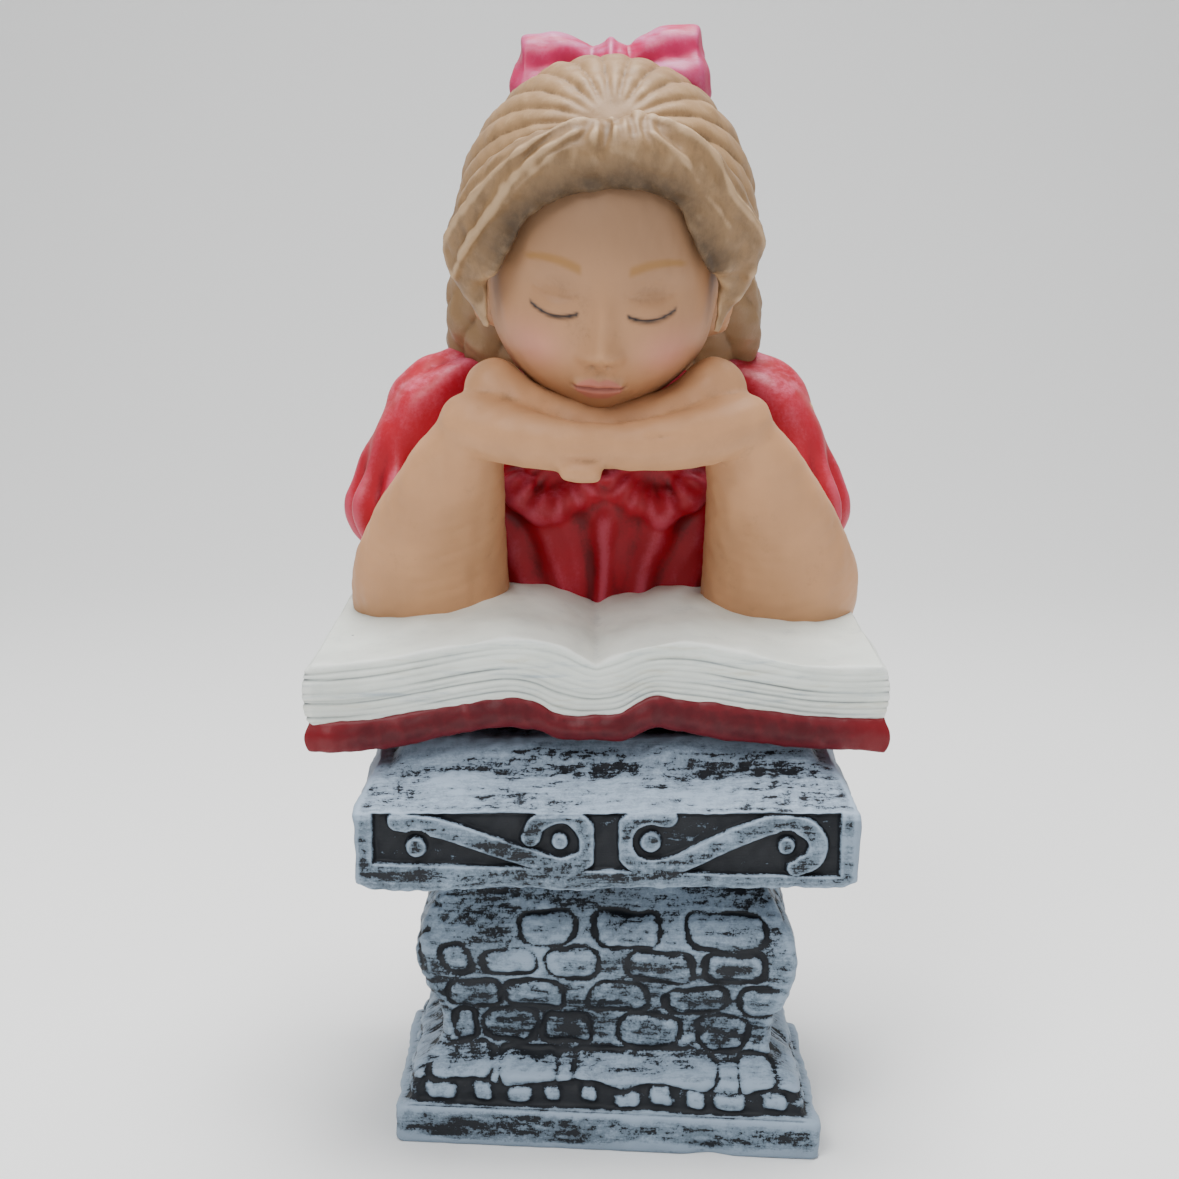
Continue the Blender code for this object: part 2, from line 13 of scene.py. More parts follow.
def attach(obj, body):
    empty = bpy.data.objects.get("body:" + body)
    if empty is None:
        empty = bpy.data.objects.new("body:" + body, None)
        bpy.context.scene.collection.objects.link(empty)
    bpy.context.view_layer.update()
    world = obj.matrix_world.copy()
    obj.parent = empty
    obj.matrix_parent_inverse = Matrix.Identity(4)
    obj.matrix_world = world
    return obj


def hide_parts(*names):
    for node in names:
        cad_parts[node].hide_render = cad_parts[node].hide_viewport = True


bl_info = {
    "name": "Reading girl statue",
    "version": (1, 0, 0),
    "blender": (4, 5, 0),
    "location": "3D View > Sidebar > Statue",
    "description": "Builds a painted garden statue of a girl reading, and the stage round it",
    "category": "Add Mesh",
}

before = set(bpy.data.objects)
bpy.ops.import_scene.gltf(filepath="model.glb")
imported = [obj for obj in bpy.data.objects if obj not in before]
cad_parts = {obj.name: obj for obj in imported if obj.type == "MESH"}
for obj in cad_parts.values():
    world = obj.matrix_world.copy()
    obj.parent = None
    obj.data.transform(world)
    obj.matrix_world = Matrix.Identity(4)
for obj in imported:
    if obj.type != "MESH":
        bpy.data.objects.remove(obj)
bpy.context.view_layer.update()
CASTING = "reading_girl_statue"


def length(name, description, default):
    return bpy.props.FloatProperty(name=name, description=description, default=default, unit="LENGTH",
                                   precision=4)


def angle(name, description, degrees):
    return bpy.props.FloatProperty(name=name, description=description, default=math.radians(degrees),
                                   unit="ROTATION")


def place(name, description, default):
    return bpy.props.FloatVectorProperty(name=name, description=description, default=default, subtype="XYZ",
                                         unit="LENGTH")


def colour(name, description, default):
    return bpy.props.FloatVectorProperty(name=name, description=description, default=default, subtype="COLOR",
                                         min=0.0, max=1.0)


class PedestalSizes(bpy.types.PropertyGroup):
    twist: angle("Twist", "How far the pedestal is turned under the slab, its right side to the front", 5.5)
    plinth_top: length("Plinth top", "Height of the plinth", 0.022)
    plinth_half: length("Plinth half width", "Half width of the plinth", 0.1195)
    plinth_deep: length("Plinth half depth", "Half depth of the plinth", 0.070)
    step_top: length("Step top", "Height of the small step over the plinth", 0.030)
    column_top: length("Column top", "Height where the column runs into the slab", 0.164)
    neck: length("Neck", "Half width of the column under the slab", 0.086)
    bulge: length("Bulge", "Half width of the column at its bulge", 0.1065)
    bulge_at: length("Bulge height", "Height of the bulge", 0.111)
    waist: length("Waist", "Half width of the column at its waist", 0.0925)
    waist_at: length("Waist height", "Height of the waist", 0.060)
    foot: length("Foot", "Half width of the column's flared foot", 0.112)
    slimmer_deep: length("Slimmer in depth", "How much smaller the half depth is than the half width", 0.046)
    slab_half: length("Slab half width", "Half width of the slab", 0.1355)
    slab_front: length("Slab front", "Where the slab's front face stands", -0.090)
    slab_back: length("Slab back", "Where the slab's back face stands", 0.128)
    slab_low: length("Slab underside", "Height of the slab's underside", 0.160)
    slab_high: length("Slab front edge", "Height of the slab's front top edge", 0.206)
    slab_crown: length("Slab crown", "Height of the slab's top under the book", 0.219)
    slab_crown_at: length("Slab crown start", "Where the sloping top meets the book", -0.040)
    relief: length("Relief", "Depth of the carved scrollwork", 0.003)
    band: length("Band", "Width of the scrollwork's raised bands", 0.0085)


class BookSizes(bpy.types.PropertyGroup):
    front: length("Front", "Where the book's front edge stands", -0.050)
    back: length("Back", "Where the book's back edge stands", 0.088)
    half_front: length("Half width in front", "Half width of the book at its front edge", 0.1585)
    half_back: length("Half width behind", "Half width of the book at its back edge", 0.151)
    aside: length("Aside", "How far the book's middle stands off the slab's middle", -0.005)
    page_top_front: length("Page level in front", "Height of the pages' outer corners in front", 0.276)
    page_top_back: length("Page level behind", "Height of the pages' outer corners behind", 0.290)
    page_foot: length("Page foot", "Height where the pages lie on the cover", 0.244)
    cover_foot: length("Cover foot", "Height of the cover's underside", 0.226)


class GirlSizes(bpy.types.PropertyGroup):
    head_at: place("Head", "Centre of the head", (0.0, 0.040, 0.500))
    nod: angle("Nod", "How far the head leans forward", 15)
    roll: angle("Roll", "How far the head leans to its left", 3)
    skull: place("Skull", "Half sizes of the head", (0.066, 0.079, 0.090))
    hair: place("Hair", "Half sizes of the hair round the head", (0.084, 0.090, 0.093))
    elbow: place("Elbow", "Middle of the left elbow", (0.113, 0.052, 0.303))
    shoulder: place("Shoulder", "Middle of the left shoulder", (0.112, 0.098, 0.398))
    shoulder_at: length("Shoulder line", "Height of the shoulders", 0.425)
    chest_back: length("Back", "Where the back of the dress stands", 0.152)
    bow_at: place("Bow", "Middle of the bow", (0.003, 0.070, 0.593))
    bow_span: length("Bow span", "Length of one loop of the bow", 0.056)
    bow_height: length("Bow height", "Half height of a loop", 0.027)


class Paints(bpy.types.PropertyGroup):
    skin: colour("Skin", "Paint of face, arms and hands", (0.55, 0.285, 0.140))
    blush: colour("Blush", "Pink of the cheeks and lips", (0.60, 0.22, 0.20))
    hair: colour("Hair", "Paint of the hair", (0.32, 0.190, 0.090))
    # hair_light is the colour of the dry-brushing and painted highlight on the hair's ridges
    hair_light: colour("Hair light", "Brushed highlights on the hair", (0.52, 0.35, 0.20))
    brow: colour("Brow", "Paint of the eyebrows", (0.30, 0.15, 0.05))
    # hair_shade is the painted shade in the hollows of the hair, and darker still the painted shadow under
    # the fringe's roll
    hair_shade: colour("Hair shade", "Wash in the hollows of the hair", (0.13, 0.075, 0.035))
    dress: colour("Dress", "Paint of the dress", (0.42, 0.008, 0.022))
    # dress_light is the colour of the dry-brushed pink and painted highlight on the dress's ridges and upward
    # faces
    dress_light: colour("Dress light", "Brushed highlights on the dress", (0.80, 0.19, 0.30))
    bow: colour("Bow", "Paint of the bow", (0.50, 0.014, 0.090))
    # bow_light is the colour of the dry-brushed pink and painted highlight on the bow's ridges and upward
    # faces
    bow_light: colour("Bow light", "Brushed highlights on the bow", (0.56, 0.20, 0.38))
    page: colour("Page", "Paint of the pages", (0.74, 0.78, 0.72))
    cover: colour("Cover", "Paint of the cover", (0.075, 0.002, 0.006))
    stone: colour("Stone", "Brushed paint of slab and column", (0.150, 0.205, 0.265))
    # stone_light is the thick light coat, and the painted highlight on the stone's upward faces
    stone_light: colour("Stone light", "Paint on the stone's upward faces", (0.33, 0.42, 0.53))
    ground: colour("Ground", "Dark paint in the recesses", (0.008, 0.010, 0.014))


def pedestal_sizes():
    return bpy.context.scene.statue_pedestal


def book_sizes():
    return bpy.context.scene.statue_book


def girl_sizes():
    return bpy.context.scene.statue_girl


def paints():
    return bpy.context.scene.statue_paints


# Curves and noise that the carving is worked out from

def blend(value, low, high):
    """0 below low, 1 above high, and a soft rise between them."""
    share = np.clip((value - low) / (high - low), 0.0, 1.0)
    return share * share * (3 - 2 * share)


def bump(x, z, at, size):
    return np.exp(-((x - at[0]) / size[0]) ** 2 - ((z - at[1]) / size[1]) ** 2)


def unevenness(points, grain, seed):
    """Smooth hand-made unevenness between -1 and 1, made of a few crossing waves."""
    chance = np.random.default_rng(seed)
    total = np.zeros(len(points))
    for _ in range(9):
        way = chance.normal(size=3)
        way *= 2 * math.pi / (grain * chance.uniform(0.7, 1.6) * np.linalg.norm(way))
        total += np.sin(points @ way + chance.uniform(0, 2 * math.pi))
    return total / 4.5


def path_distance(points, path):
    """Distance of each point from a path of straight runs, and how far along it the nearest place is."""
    path = np.asarray(path, float)
    best = np.full(len(points), 1e9)
    along = np.zeros(len(points))
    for k, (start, end) in enumerate(zip(path, path[1:])):
        run = end - start
        share = np.clip((points - start) @ run / max(run @ run, 1e-12), 0, 1)
        distance = np.linalg.norm(points - start - share[:, None] * run, axis=1)
        nearer = distance < best
        best[nearer] = distance[nearer]
        along[nearer] = (k + share[nearer]) / (len(path) - 1)
    return best, along


def smooth_path(path, steps=6):
    """Round a path's corners: points along a Catmull-Rom curve through it."""
    path = np.asarray(path, float)
    padded = np.vstack([2 * path[0] - path[1], path, 2 * path[-1] - path[-2]])
    curve = []
    for a, b, c, d in zip(padded, padded[1:], padded[2:], padded[3:]):
        for k in range(steps):
            t = k / steps
            curve.append(0.5 * (2 * b + (c - a) * t + (2 * a - 5 * b + 4 * c - d) * t ** 2
                                + (3 * b - a - 3 * c + d) * t ** 3))
    curve.append(path[-1])
    return np.array(curve)


# Mesh work that the pieces share

def coordinates(obj):
    flat = np.empty(len(obj.data.vertices) * 3)
    obj.data.vertices.foreach_get("co", flat)
    return flat.reshape(-1, 3)


def move_points(obj, points):
    obj.data.vertices.foreach_set("co", np.ascontiguousarray(points, dtype=np.float64).ravel())
    obj.data.update()


def normals(obj):
    flat = np.empty(len(obj.data.vertices) * 3)
    obj.data.vertex_normals.foreach_get("vector", flat)
    return flat.reshape(-1, 3)


def edges(obj):
    flat = np.empty(len(obj.data.edges) * 2, dtype=np.int64)
    obj.data.edges.foreach_get("vertices", flat)
    return flat.reshape(-1, 2)


def relaxed(obj, points, passes, strength=0.5):
    """Points drawn towards the middle of their neighbours, some passes over."""
    pairs = edges(obj)
    count = len(points)
    ends = np.concatenate([pairs[:, 0], pairs[:, 1]])
    others = np.concatenate([pairs[:, 1], pairs[:, 0]])
    share = np.bincount(ends, minlength=count)[:, None]
    for _ in range(passes):
        near = np.stack([np.bincount(ends, weights=points[others, axis], minlength=count)
                         for axis in range(points.shape[1])], axis=1)
        points = points + strength * (near / share - points)
    return points


def store(obj, name, values):
    """Keep a number for each point, for the paint to read."""
    mark = obj.data.attributes.new(name, "FLOAT", "POINT")
    mark.data.foreach_set("value", np.ascontiguousarray(values, dtype=np.float32))


def mark_relief(obj, reach, passes=24):
    """Store how far each point stands out, 0 in a hollow and 1 on a ridge, and how far it faces up."""
    points = coordinates(obj)
    facing = normals(obj)
    stands = np.einsum("ij,ij->i", points - relaxed(obj, points, passes), facing)
    store(obj, "relief", np.clip(0.5 + 0.5 * stands / reach, 0, 1))
    store(obj, "upward", np.clip(facing[:, 2], 0, 1))


def select_only(obj):
    bpy.ops.object.select_all(action="DESELECT")
    obj.select_set(True)
    bpy.context.view_layer.objects.active = obj


def face_outwards(obj):
    select_only(obj)
    bpy.ops.object.mode_set(mode="EDIT")
    bpy.ops.mesh.select_all(action="SELECT")
    bpy.ops.mesh.normals_make_consistent(inside=False)
    bpy.ops.object.mode_set(mode="OBJECT")


def ball(name, rows, columns):
    """A sphere of so many rows and columns, with the row and column of each of its points."""
    bpy.ops.object.select_all(action="DESELECT")
    bpy.ops.mesh.primitive_uv_sphere_add(segments=columns, ring_count=rows + 1, radius=1)
    obj = bpy.context.active_object
    obj.name = name
    way = coordinates(obj)
    row = np.rint(np.arccos(np.clip(way[:, 2], -1, 1)) / math.pi * (rows + 1)).astype(int)
    column = np.rint(np.arctan2(way[:, 1], way[:, 0]) / (2 * math.pi) * columns).astype(int) % columns
    return obj, row, column


def skin_over(name, rings, marks=None):
    """Shape a sphere over a stack of closed rings, given as rows by columns by 3, and close its ends flat.

    marks are numbers to keep for each point of the rings, by name.
    """
    rings = np.asarray(rings, float)
    rows, columns = rings.shape[:2]
    obj, row, column = ball(name, rows, columns)
    capped = np.concatenate([rings[:1].mean(axis=1, keepdims=True).repeat(columns, axis=1), rings,
                             rings[-1:].mean(axis=1, keepdims=True).repeat(columns, axis=1)])
    move_points(obj, capped[row, column])
    for mark, values in (marks or {}).items():
        store(obj, mark, np.pad(values, ((1, 1), (0, 0)))[row, column])
    face_outwards(obj)
    return obj


def turned_frame(ahead):
    """Two directions square to a path's direction."""
    turn = Vector(ahead).to_track_quat("Z", "Y").to_matrix()
    return np.array(turn.col[0]), np.array(turn.col[1])


def limb(name, path, radii, columns=40, steps=5):
    """A rounded limb of changing width and thickness along a smooth path."""
    path = smooth_path(path, steps)
    radii = smooth_path([radius if isinstance(radius, tuple) else (radius, radius) for radius in radii],
                        steps)
    around = 2 * math.pi * np.arange(columns) / columns
    rings = []
    for k, centre in enumerate(path):
        ahead = path[min(k + 1, len(path) - 1)] - path[max(k - 1, 0)]
        ahead = ahead / np.linalg.norm(ahead)
        side, up = turned_frame(ahead)
        ends = [(1.0, 0.0)]
        if k == 0:
            ends = [(math.sin(t), -math.cos(t)) for t in (0.25, 0.6, 0.95, 1.25, 1.57)]
        if k == len(path) - 1:
            ends = [(math.sin(t), math.cos(t)) for t in (1.57, 1.25, 0.95, 0.6, 0.25)]
        for share, slide in ends:
            wide, thick = radii[k] * share
            rings.append(centre + ahead * slide * radii[k].min() * 0.8 + wide * np.cos(around)[:, None] * side
                         + thick * np.sin(around)[:, None] * up)
    return skin_over(name, rings)


def flat_limb(name, path, widths, columns=48, steps=6):
    """A limb whose cross-sections stay upright: half widths across and in depth at each place of its path."""
    path = smooth_path(path, steps)
    widths = smooth_path(widths, steps)
    around = 2 * math.pi * np.arange(columns) / columns
    rings = []
    for k, (centre, (across, deep)) in enumerate(zip(path, widths)):
        ends = ((1.0, 0.0),)
        if k in (0, len(path) - 1):
            turns = (0.3, 0.65, 1.0, 1.3, 1.57)
            slide = -1 if k == 0 else 1
            ends = [(math.sin(t), slide * math.cos(t)) for t in (turns if k == 0 else reversed(turns))]
        for share, rise in ends:
            rings.append(centre + np.column_stack([across * share * np.cos(around),
                                                   deep * share * np.sin(around),
                                                   np.full(columns, rise * deep * 0.8)]))
    return skin_over(name, rings)


def melt(name, parts, grain, passes=4):
    """Join shapes that run into each other, melt them into one skin by voxel remesh, and smooth it."""
    bpy.ops.object.select_all(action="DESELECT")
    for part in parts:
        part.select_set(True)
    bpy.context.view_layer.objects.active = parts[0]
    bpy.ops.object.join()
    obj = bpy.context.active_object
    obj.name = name
    remesh = obj.modifiers.new("Melt", "REMESH")
    remesh.mode = "VOXEL"
    remesh.voxel_size = grain
    bpy.ops.object.modifier_apply(modifier=remesh.name)
    move_points(obj, relaxed(obj, coordinates(obj), passes))
    return obj


def carve(obj, path, width, depth, start_taper=0.15, centre=None):
    """Press a groove along a path into the skin, or raise a ridge where the depth is below zero.

    With a centre, only directions from it count, so that the path needn't lie on the skin.
    """
    points = coordinates(obj)
    near, line = points, np.asarray(path, float)
    if centre is not None:
        near, line = (spots - centre for spots in (points, line))
        reach = np.linalg.norm(near, axis=1)[:, None]
        near = near / reach
        line = line / np.linalg.norm(line, axis=1)[:, None]
    distance, along = path_distance(near, line)
    if centre is not None:
        distance = distance * reach[:, 0]
    taper = np.minimum(blend(along, 0.0, start_taper), blend(1 - along, 0.0, start_taper))
    depth = depth * taper * np.exp(-(distance / width) ** 2)
    move_points(obj, points - depth[:, None] * normals(obj))


def twisted(points):
    """The pedestal's turn under the slab, which the casting ends softly below the slab's underside."""
    sizes = pedestal_sizes()
    share = 1 - blend(points[:, 2], sizes.slab_low - 0.040, sizes.slab_low)
    turned = points.copy()
    turned[:, 1] -= points[:, 0] * math.tan(sizes.twist) * share
    return turned


def finish_piece(obj, material):
    """Paint a piece, and let it stand for the casting."""
    select_only(obj)
    bpy.ops.object.shade_smooth()
    obj.data.materials.clear()
    obj.data.materials.append(material)
    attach(obj, "root")
    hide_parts(CASTING)


# Paints

class Nodes:
    """A material's node tree, built node by node."""

    def __init__(self, name, roughness):
        self.material = bpy.data.materials.new(name)
        self.material.use_nodes = True
        self.tree = self.material.node_tree
        self.shader = self.tree.nodes["Principled BSDF"]
        self.shader.inputs["Roughness"].default_value = roughness
        self.shader.inputs["Specular IOR Level"].default_value = 0.3

    def add(self, kind, inputs=None, **settings):
        node = self.tree.nodes.new(kind)
        for key, value in settings.items():
            setattr(node, key, value)
        for key, value in (inputs or {}).items():
            self.put(node.inputs[key], value)
        return node

    def put(self, socket, value):
        if isinstance(value, bpy.types.NodeSocket):
            self.tree.links.new(value, socket)
        else:
            socket.default_value = value

    def mark(self, name):
        return self.add("ShaderNodeAttribute", attribute_name=name).outputs["Fac"]

    def where(self, stretch=(1, 1, 1), turn=(0, 0, 0)):
        spot = self.add("ShaderNodeTexCoord").outputs["Object"]
        return self.add("ShaderNodeMapping", {"Vector": spot, "Scale": stretch,
                                              "Rotation": turn}).outputs["Vector"]

    def noise(self, scale, detail=4, roughness=0.6, stretch=(1, 1, 1), turn=(0, 0, 0)):
        return self.add("ShaderNodeTexNoise", {"Vector": self.where(stretch, turn), "Scale": scale,
                                               "Detail": detail,
                                               "Roughness": roughness}).outputs["Fac"]

    def math(self, operation, a, b=0.0, clamp=False):
        node = self.add("ShaderNodeMath", operation=operation, use_clamp=clamp)
        self.put(node.inputs[0], a)
        self.put(node.inputs[1], b)
        return node.outputs[0]

    def plus(self, a, b, clamp=False):
        return self.math("ADD", a, b, clamp)

    def minus(self, a, b):
        return self.math("SUBTRACT", a, b)

    def times(self, a, b):
        return self.math("MULTIPLY", a, b)

    def ramp(self, value, low, high):
        return self.add("ShaderNodeMapRange", {"Value": value, "From Min": low, "From Max": high},
                        interpolation_type="SMOOTHSTEP").outputs["Result"]

    def mix(self, share, a, b):
        node = self.add("ShaderNodeMix", data_type="RGBA")
        self.put(node.inputs["Factor"], share)
        for socket, value in ((node.inputs[6], a), (node.inputs[7], b)):
            self.put(socket, value if isinstance(value, bpy.types.NodeSocket) else (*value, 1.0))
        return node.outputs[2]

    def finish(self, base, height, strength, distance):
        self.put(self.shader.inputs["Base Color"], base)
        bumped = self.add("ShaderNodeBump", {"Height": height, "Strength": strength, "Distance": distance})
        self.put(self.shader.inputs["Normal"], bumped.outputs["Normal"])
        return self.material


def pinholes(nodes, scale, share):
    """Small scattered pits, dark where 1."""
    cells = nodes.add("ShaderNodeTexVoronoi", {"Vector": nodes.where(), "Scale": scale, "Randomness": 1.0})
    spots = nodes.ramp(cells.outputs["Distance"], 0.10, 0.06)
    chosen = nodes.ramp(cells.outputs["Color"], share, share + 0.01)
    return nodes.times(spots, nodes.minus(1.0, chosen))


def brushed_stone(name, bare=0.0):
    """Grey-blue paint dry-brushed over a black ground, which shows in recesses and between strokes.

    bare moves the share of black ground that shows.
    """
    colours = paints()
    nodes = Nodes(name, 0.55)
    strokes = nodes.noise(64, 6, 0.74, (0.28, 2.6, 2.8))
    slants = nodes.noise(120, 5, 0.75, (0.45, 1.6, 1.8), (0, 0.45, 0.2))
    specks = nodes.noise(560, 3, 0.8)
    clouds = nodes.noise(17, 4, 0.6)
    cover = nodes.times(nodes.minus(nodes.mark("relief"), 0.5), 1.4)
    for noise, share in ((strokes, 1.7), (slants, 1.2), (specks, 1.2), (clouds, 1.1)):
        cover = nodes.plus(cover, nodes.times(nodes.minus(noise, 0.5), share))
    # Upward faces take more of the light paint, a painted highlight from the light above
    cover = nodes.plus(cover, nodes.times(nodes.mark("upward"), 0.14))
    cover = nodes.minus(cover, nodes.times(nodes.mark("recess"), 0.42))
    first = nodes.ramp(cover, -0.13 + bare, 0.00 + bare)
    second = nodes.ramp(cover, 0.06 + bare, 0.50 + bare)
    tone = nodes.mix(nodes.ramp(clouds, 0.35, 0.7), tuple(0.62 * c for c in colours.stone), colours.stone)
    # lit mixes towards stone_light: painted highlight on upward faces, and the thick light coat where strokes
    # cover well
    lit = nodes.plus(nodes.times(nodes.mark("upward"), 0.55), nodes.times(second, 0.5), True)
    tone = nodes.mix(lit, tone, colours.stone_light)
    base = nodes.mix(first, colours.ground, tone)
    height = nodes.plus(nodes.times(first, 0.8), nodes.times(strokes, 0.9))
    height = nodes.plus(height, nodes.times(specks, 0.4))
    return nodes.finish(base, height, 0.6, 0.0009)


def soft_paint(name, main, shade, light, roughness, grain=90, depth=1.0, shine=1.0):
    """Brushed paint, darker in the hollows as painted shade and lighter on the ridges as dry-brushing with
    painted highlight, with small pits and faint strokes.

    depth is the strength of the painted shade in the hollows, and shine that of the dry-brushing and painted
    highlight on the ridges.
    """
    nodes = Nodes(name, roughness)
    strokes = nodes.noise(grain, 5, 0.65, (1.0, 1.0, 0.45))
    fine = nodes.noise(6 * grain, 3, 0.7)
    clouds = nodes.noise(22, 3, 0.5)
    relief = nodes.plus(nodes.mark("relief"), nodes.times(nodes.minus(strokes, 0.5), 0.55))
    relief = nodes.plus(relief, nodes.times(nodes.minus(fine, 0.5), 0.30))
    # Painted shade in the hollows, and dry-brushing with painted highlight on the ridges
    dark = nodes.times(nodes.ramp(relief, 0.48, 0.15), depth)
    bright = nodes.times(nodes.ramp(relief, 0.52, 0.90), shine)
    base = nodes.mix(nodes.ramp(clouds, 0.3, 0.75), tuple(0.84 * c for c in main), main)
    base = nodes.mix(dark, base, shade)
    base = nodes.mix(bright, base, light)
    base = nodes.mix(pinholes(nodes, 110, 0.07), base, tuple(0.25 * c for c in shade))
    height = nodes.plus(strokes, nodes.times(fine, 0.5))
    return nodes, base, height


def curve(values, knots):
    """A soft curve through knots of (place, height), read at the values."""
    places = np.array([knot[0] for knot in knots], float)
    heights = np.array([knot[1] for knot in knots], float)
    slopes = np.gradient(heights, places)
    k = np.clip(np.searchsorted(places, values) - 1, 0, len(places) - 2)
    width = places[k + 1] - places[k]
    t = np.clip((values - places[k]) / width, 0, 1)
    start, end = heights[k], heights[k + 1]
    return ((2 * t ** 3 - 3 * t ** 2 + 1) * start + (t ** 3 - 2 * t ** 2 + t) * width * slopes[k]
            + (3 * t ** 2 - 2 * t ** 3) * end + (t ** 3 - t ** 2) * width * slopes[k + 1])


# Pedestal

# Cobbles of the front: height of each row, then middle and half width of each cobble
FRONT_COBBLES = (
    (0.127, ((-0.0327, 0.0156), (0.0114, 0.0195), (0.0672, 0.0206))),
    (0.107, ((-0.0835, 0.0084), (-0.0539, 0.0151), (-0.0188, 0.0145), (0.0303, 0.0179), (0.0722, 0.0162))),
    (0.085, ((-0.0746, 0.0151), (-0.0394, 0.0173), (0.0069, 0.0162), (0.0510, 0.0179), (0.0884, 0.0128))),
    (0.064, ((-0.0790, 0.0067), (-0.0539, 0.0145), (-0.0221, 0.0140), (0.0248, 0.0156), (0.0666, 0.0145))),
    (0.044, ((-0.0818, 0.0162), (-0.0439, 0.0162), (0.0214, 0.0407), (0.0850, 0.0112))),
)
COBBLE_HALF = 0.0092
COBBLE_RAISED = 0.0016
GROOVE = 0.0024
TOOTH_PITCH = 0.0205
TOOTH_AT = 0.0315
TOOTH_HALF = 0.0052


def column_half(z):
    sizes = pedestal_sizes()
    half = np.full(np.shape(z), sizes.neck)
    levels = ((sizes.step_top, sizes.foot), (sizes.step_top + 0.008, sizes.foot - 0.003),
              (sizes.waist_at - 0.008, sizes.waist + 0.001), (sizes.waist_at, sizes.waist),
              (sizes.bulge_at, sizes.bulge),
              (sizes.column_top, sizes.neck))
    for (low, start), (high, end) in reversed(list(zip(levels, levels[1:]))):
        half = np.where(z <= high, start + (end - start) * blend(z, low, high), half)
    return half


def stone_shape(along, z, middle, half):
    """How far off the joint round a rounded cobble a place is: below 0 on the cobble, above 0 outside."""
    corner = 0.75 * min(half)
    off = np.stack([np.abs(along - middle[0]) - half[0] + corner, np.abs(z - middle[1]) - half[1] + corner])
    return np.hypot(np.maximum(off[0], 0), np.maximum(off[1], 0)) + np.minimum(off.max(axis=0), 0) - corner


def side_cobbles(side, width, chance):
    rows = []
    for z, _ in FRONT_COBBLES:
        count = int(chance.integers(3, 5)) if side == "back" else 2 + int(chance.integers(0, 2))
        cuts = np.cumsum(chance.uniform(0.8, 1.25, count))
        cuts = np.concatenate([[0.0], cuts / cuts[-1]]) * 2 * width - width
        rows.append((z, [((a + b) / 2, (b - a) / 2 - 0.0025) for a, b in zip(cuts, cuts[1:])]))
    return rows


def pedestal_relief(side, along, z):
    """How far cobbles, joints and the foot's teeth stand out on one side, and where the joints are."""
    sizes = pedestal_sizes()
    width = {"front": sizes.bulge, "back": sizes.bulge}.get(side, sizes.bulge - sizes.slimmer_deep)
    chance = np.random.default_rng({"front": 3, "back": 5, "left": 7, "right": 9}[side])
    spots = np.stack([along, z, np.full(len(z), 0.1 * len(side))], axis=1)
    along = along + 0.0022 * unevenness(spots, 0.026, 11)
    height = z + 0.0020 * unevenness(spots, 0.028, 12)
    rise = np.zeros(len(z))
    joint = np.zeros(len(z))
    for row, cobbles in (FRONT_COBBLES if side == "front" else side_cobbles(side, width, chance)):
        for middle, half in cobbles:
            lift = chance.uniform(0.6, 1.2)
            off = stone_shape(along, height, (middle, row), (half, COBBLE_HALF * chance.uniform(0.86, 1.04)))
            rise = np.maximum(rise, lift * COBBLE_RAISED * blend(-off, 0.0, 0.0055))
            open_joint = 0.35 + 0.65 * blend(unevenness(spots, 0.018,
                                                        60 + int(1000 * row) + int(900 * middle)), -0.5, 0.4)
            joint = np.maximum(joint, open_joint * np.exp(-((off - 0.0002) / 0.0012) ** 2))
    above = blend(height, TOOTH_AT + TOOTH_HALF - 0.001, TOOTH_AT + TOOTH_HALF + 0.001)
    shape = rise - GROOVE * joint
    count = int(2 * (width + 0.004) / TOOTH_PITCH)
    tooth = np.zeros(len(z))
    for k in range(count):
        middle = ((k - (count - 1) / 2 + chance.uniform(-0.16, 0.16)) * TOOTH_PITCH, TOOTH_AT)
        half = (chance.uniform(0.26, 0.42) * TOOTH_PITCH, TOOTH_HALF)
        tooth = np.maximum(tooth, blend(-stone_shape(along, height, middle, half), -0.001, 0.0025))
    shape = shape * above + (-GROOVE + (GROOVE + 0.5 * COBBLE_RAISED) * tooth) * (1 - above)
    joint = joint * above + 0.8 * (1 - tooth) * (1 - above)
    carved = blend(z, sizes.plinth_top + 0.001, sizes.plinth_top + 0.003) * (1 - blend(z, 0.137, 0.145))
    calm = 1.0 if side in ("front", "back") else 0.6
    return carved * shape * calm, carved * joint


def rounded_rectangle(half_x, half_y, corner, counts):
    """Points round a rectangle with rounded corners, with the way out, side and place along it of each."""
    across, deep, bend = counts
    spots, outs, sides, alongs = [], [], [], []
    plan = (("front", (0, -1), (1, 0), half_x, half_y, across),
            ("right", (1, 0), (0, 1), half_y, half_x, deep),
            ("back", (0, 1), (-1, 0), half_x, half_y, across),
            ("left", (-1, 0), (0, -1), half_y, half_x, deep))
    for side, out, way, half, off, count in plan:
        out, way = np.array(out, float), np.array(way, float)
        for k in range(count):
            along = (-1 + 2 * (k + 0.5) / count) * (half - corner)
            spots.append(out * off + way * along)
            outs.append(out)
            sides.append(side)
            alongs.append(along)
        for k in range(bend):
            turn = (k + 0.5) / bend * math.pi / 2
            lean = out * math.cos(turn) + way * math.sin(turn)
            spots.append(out * (off - corner) + way * (half - corner) + corner * lean)
            outs.append(lean)
            sides.append(side)
            alongs.append(half - corner + corner * math.sin(turn))
    return np.array(spots), np.array(outs), np.array(sides), np.array(alongs)


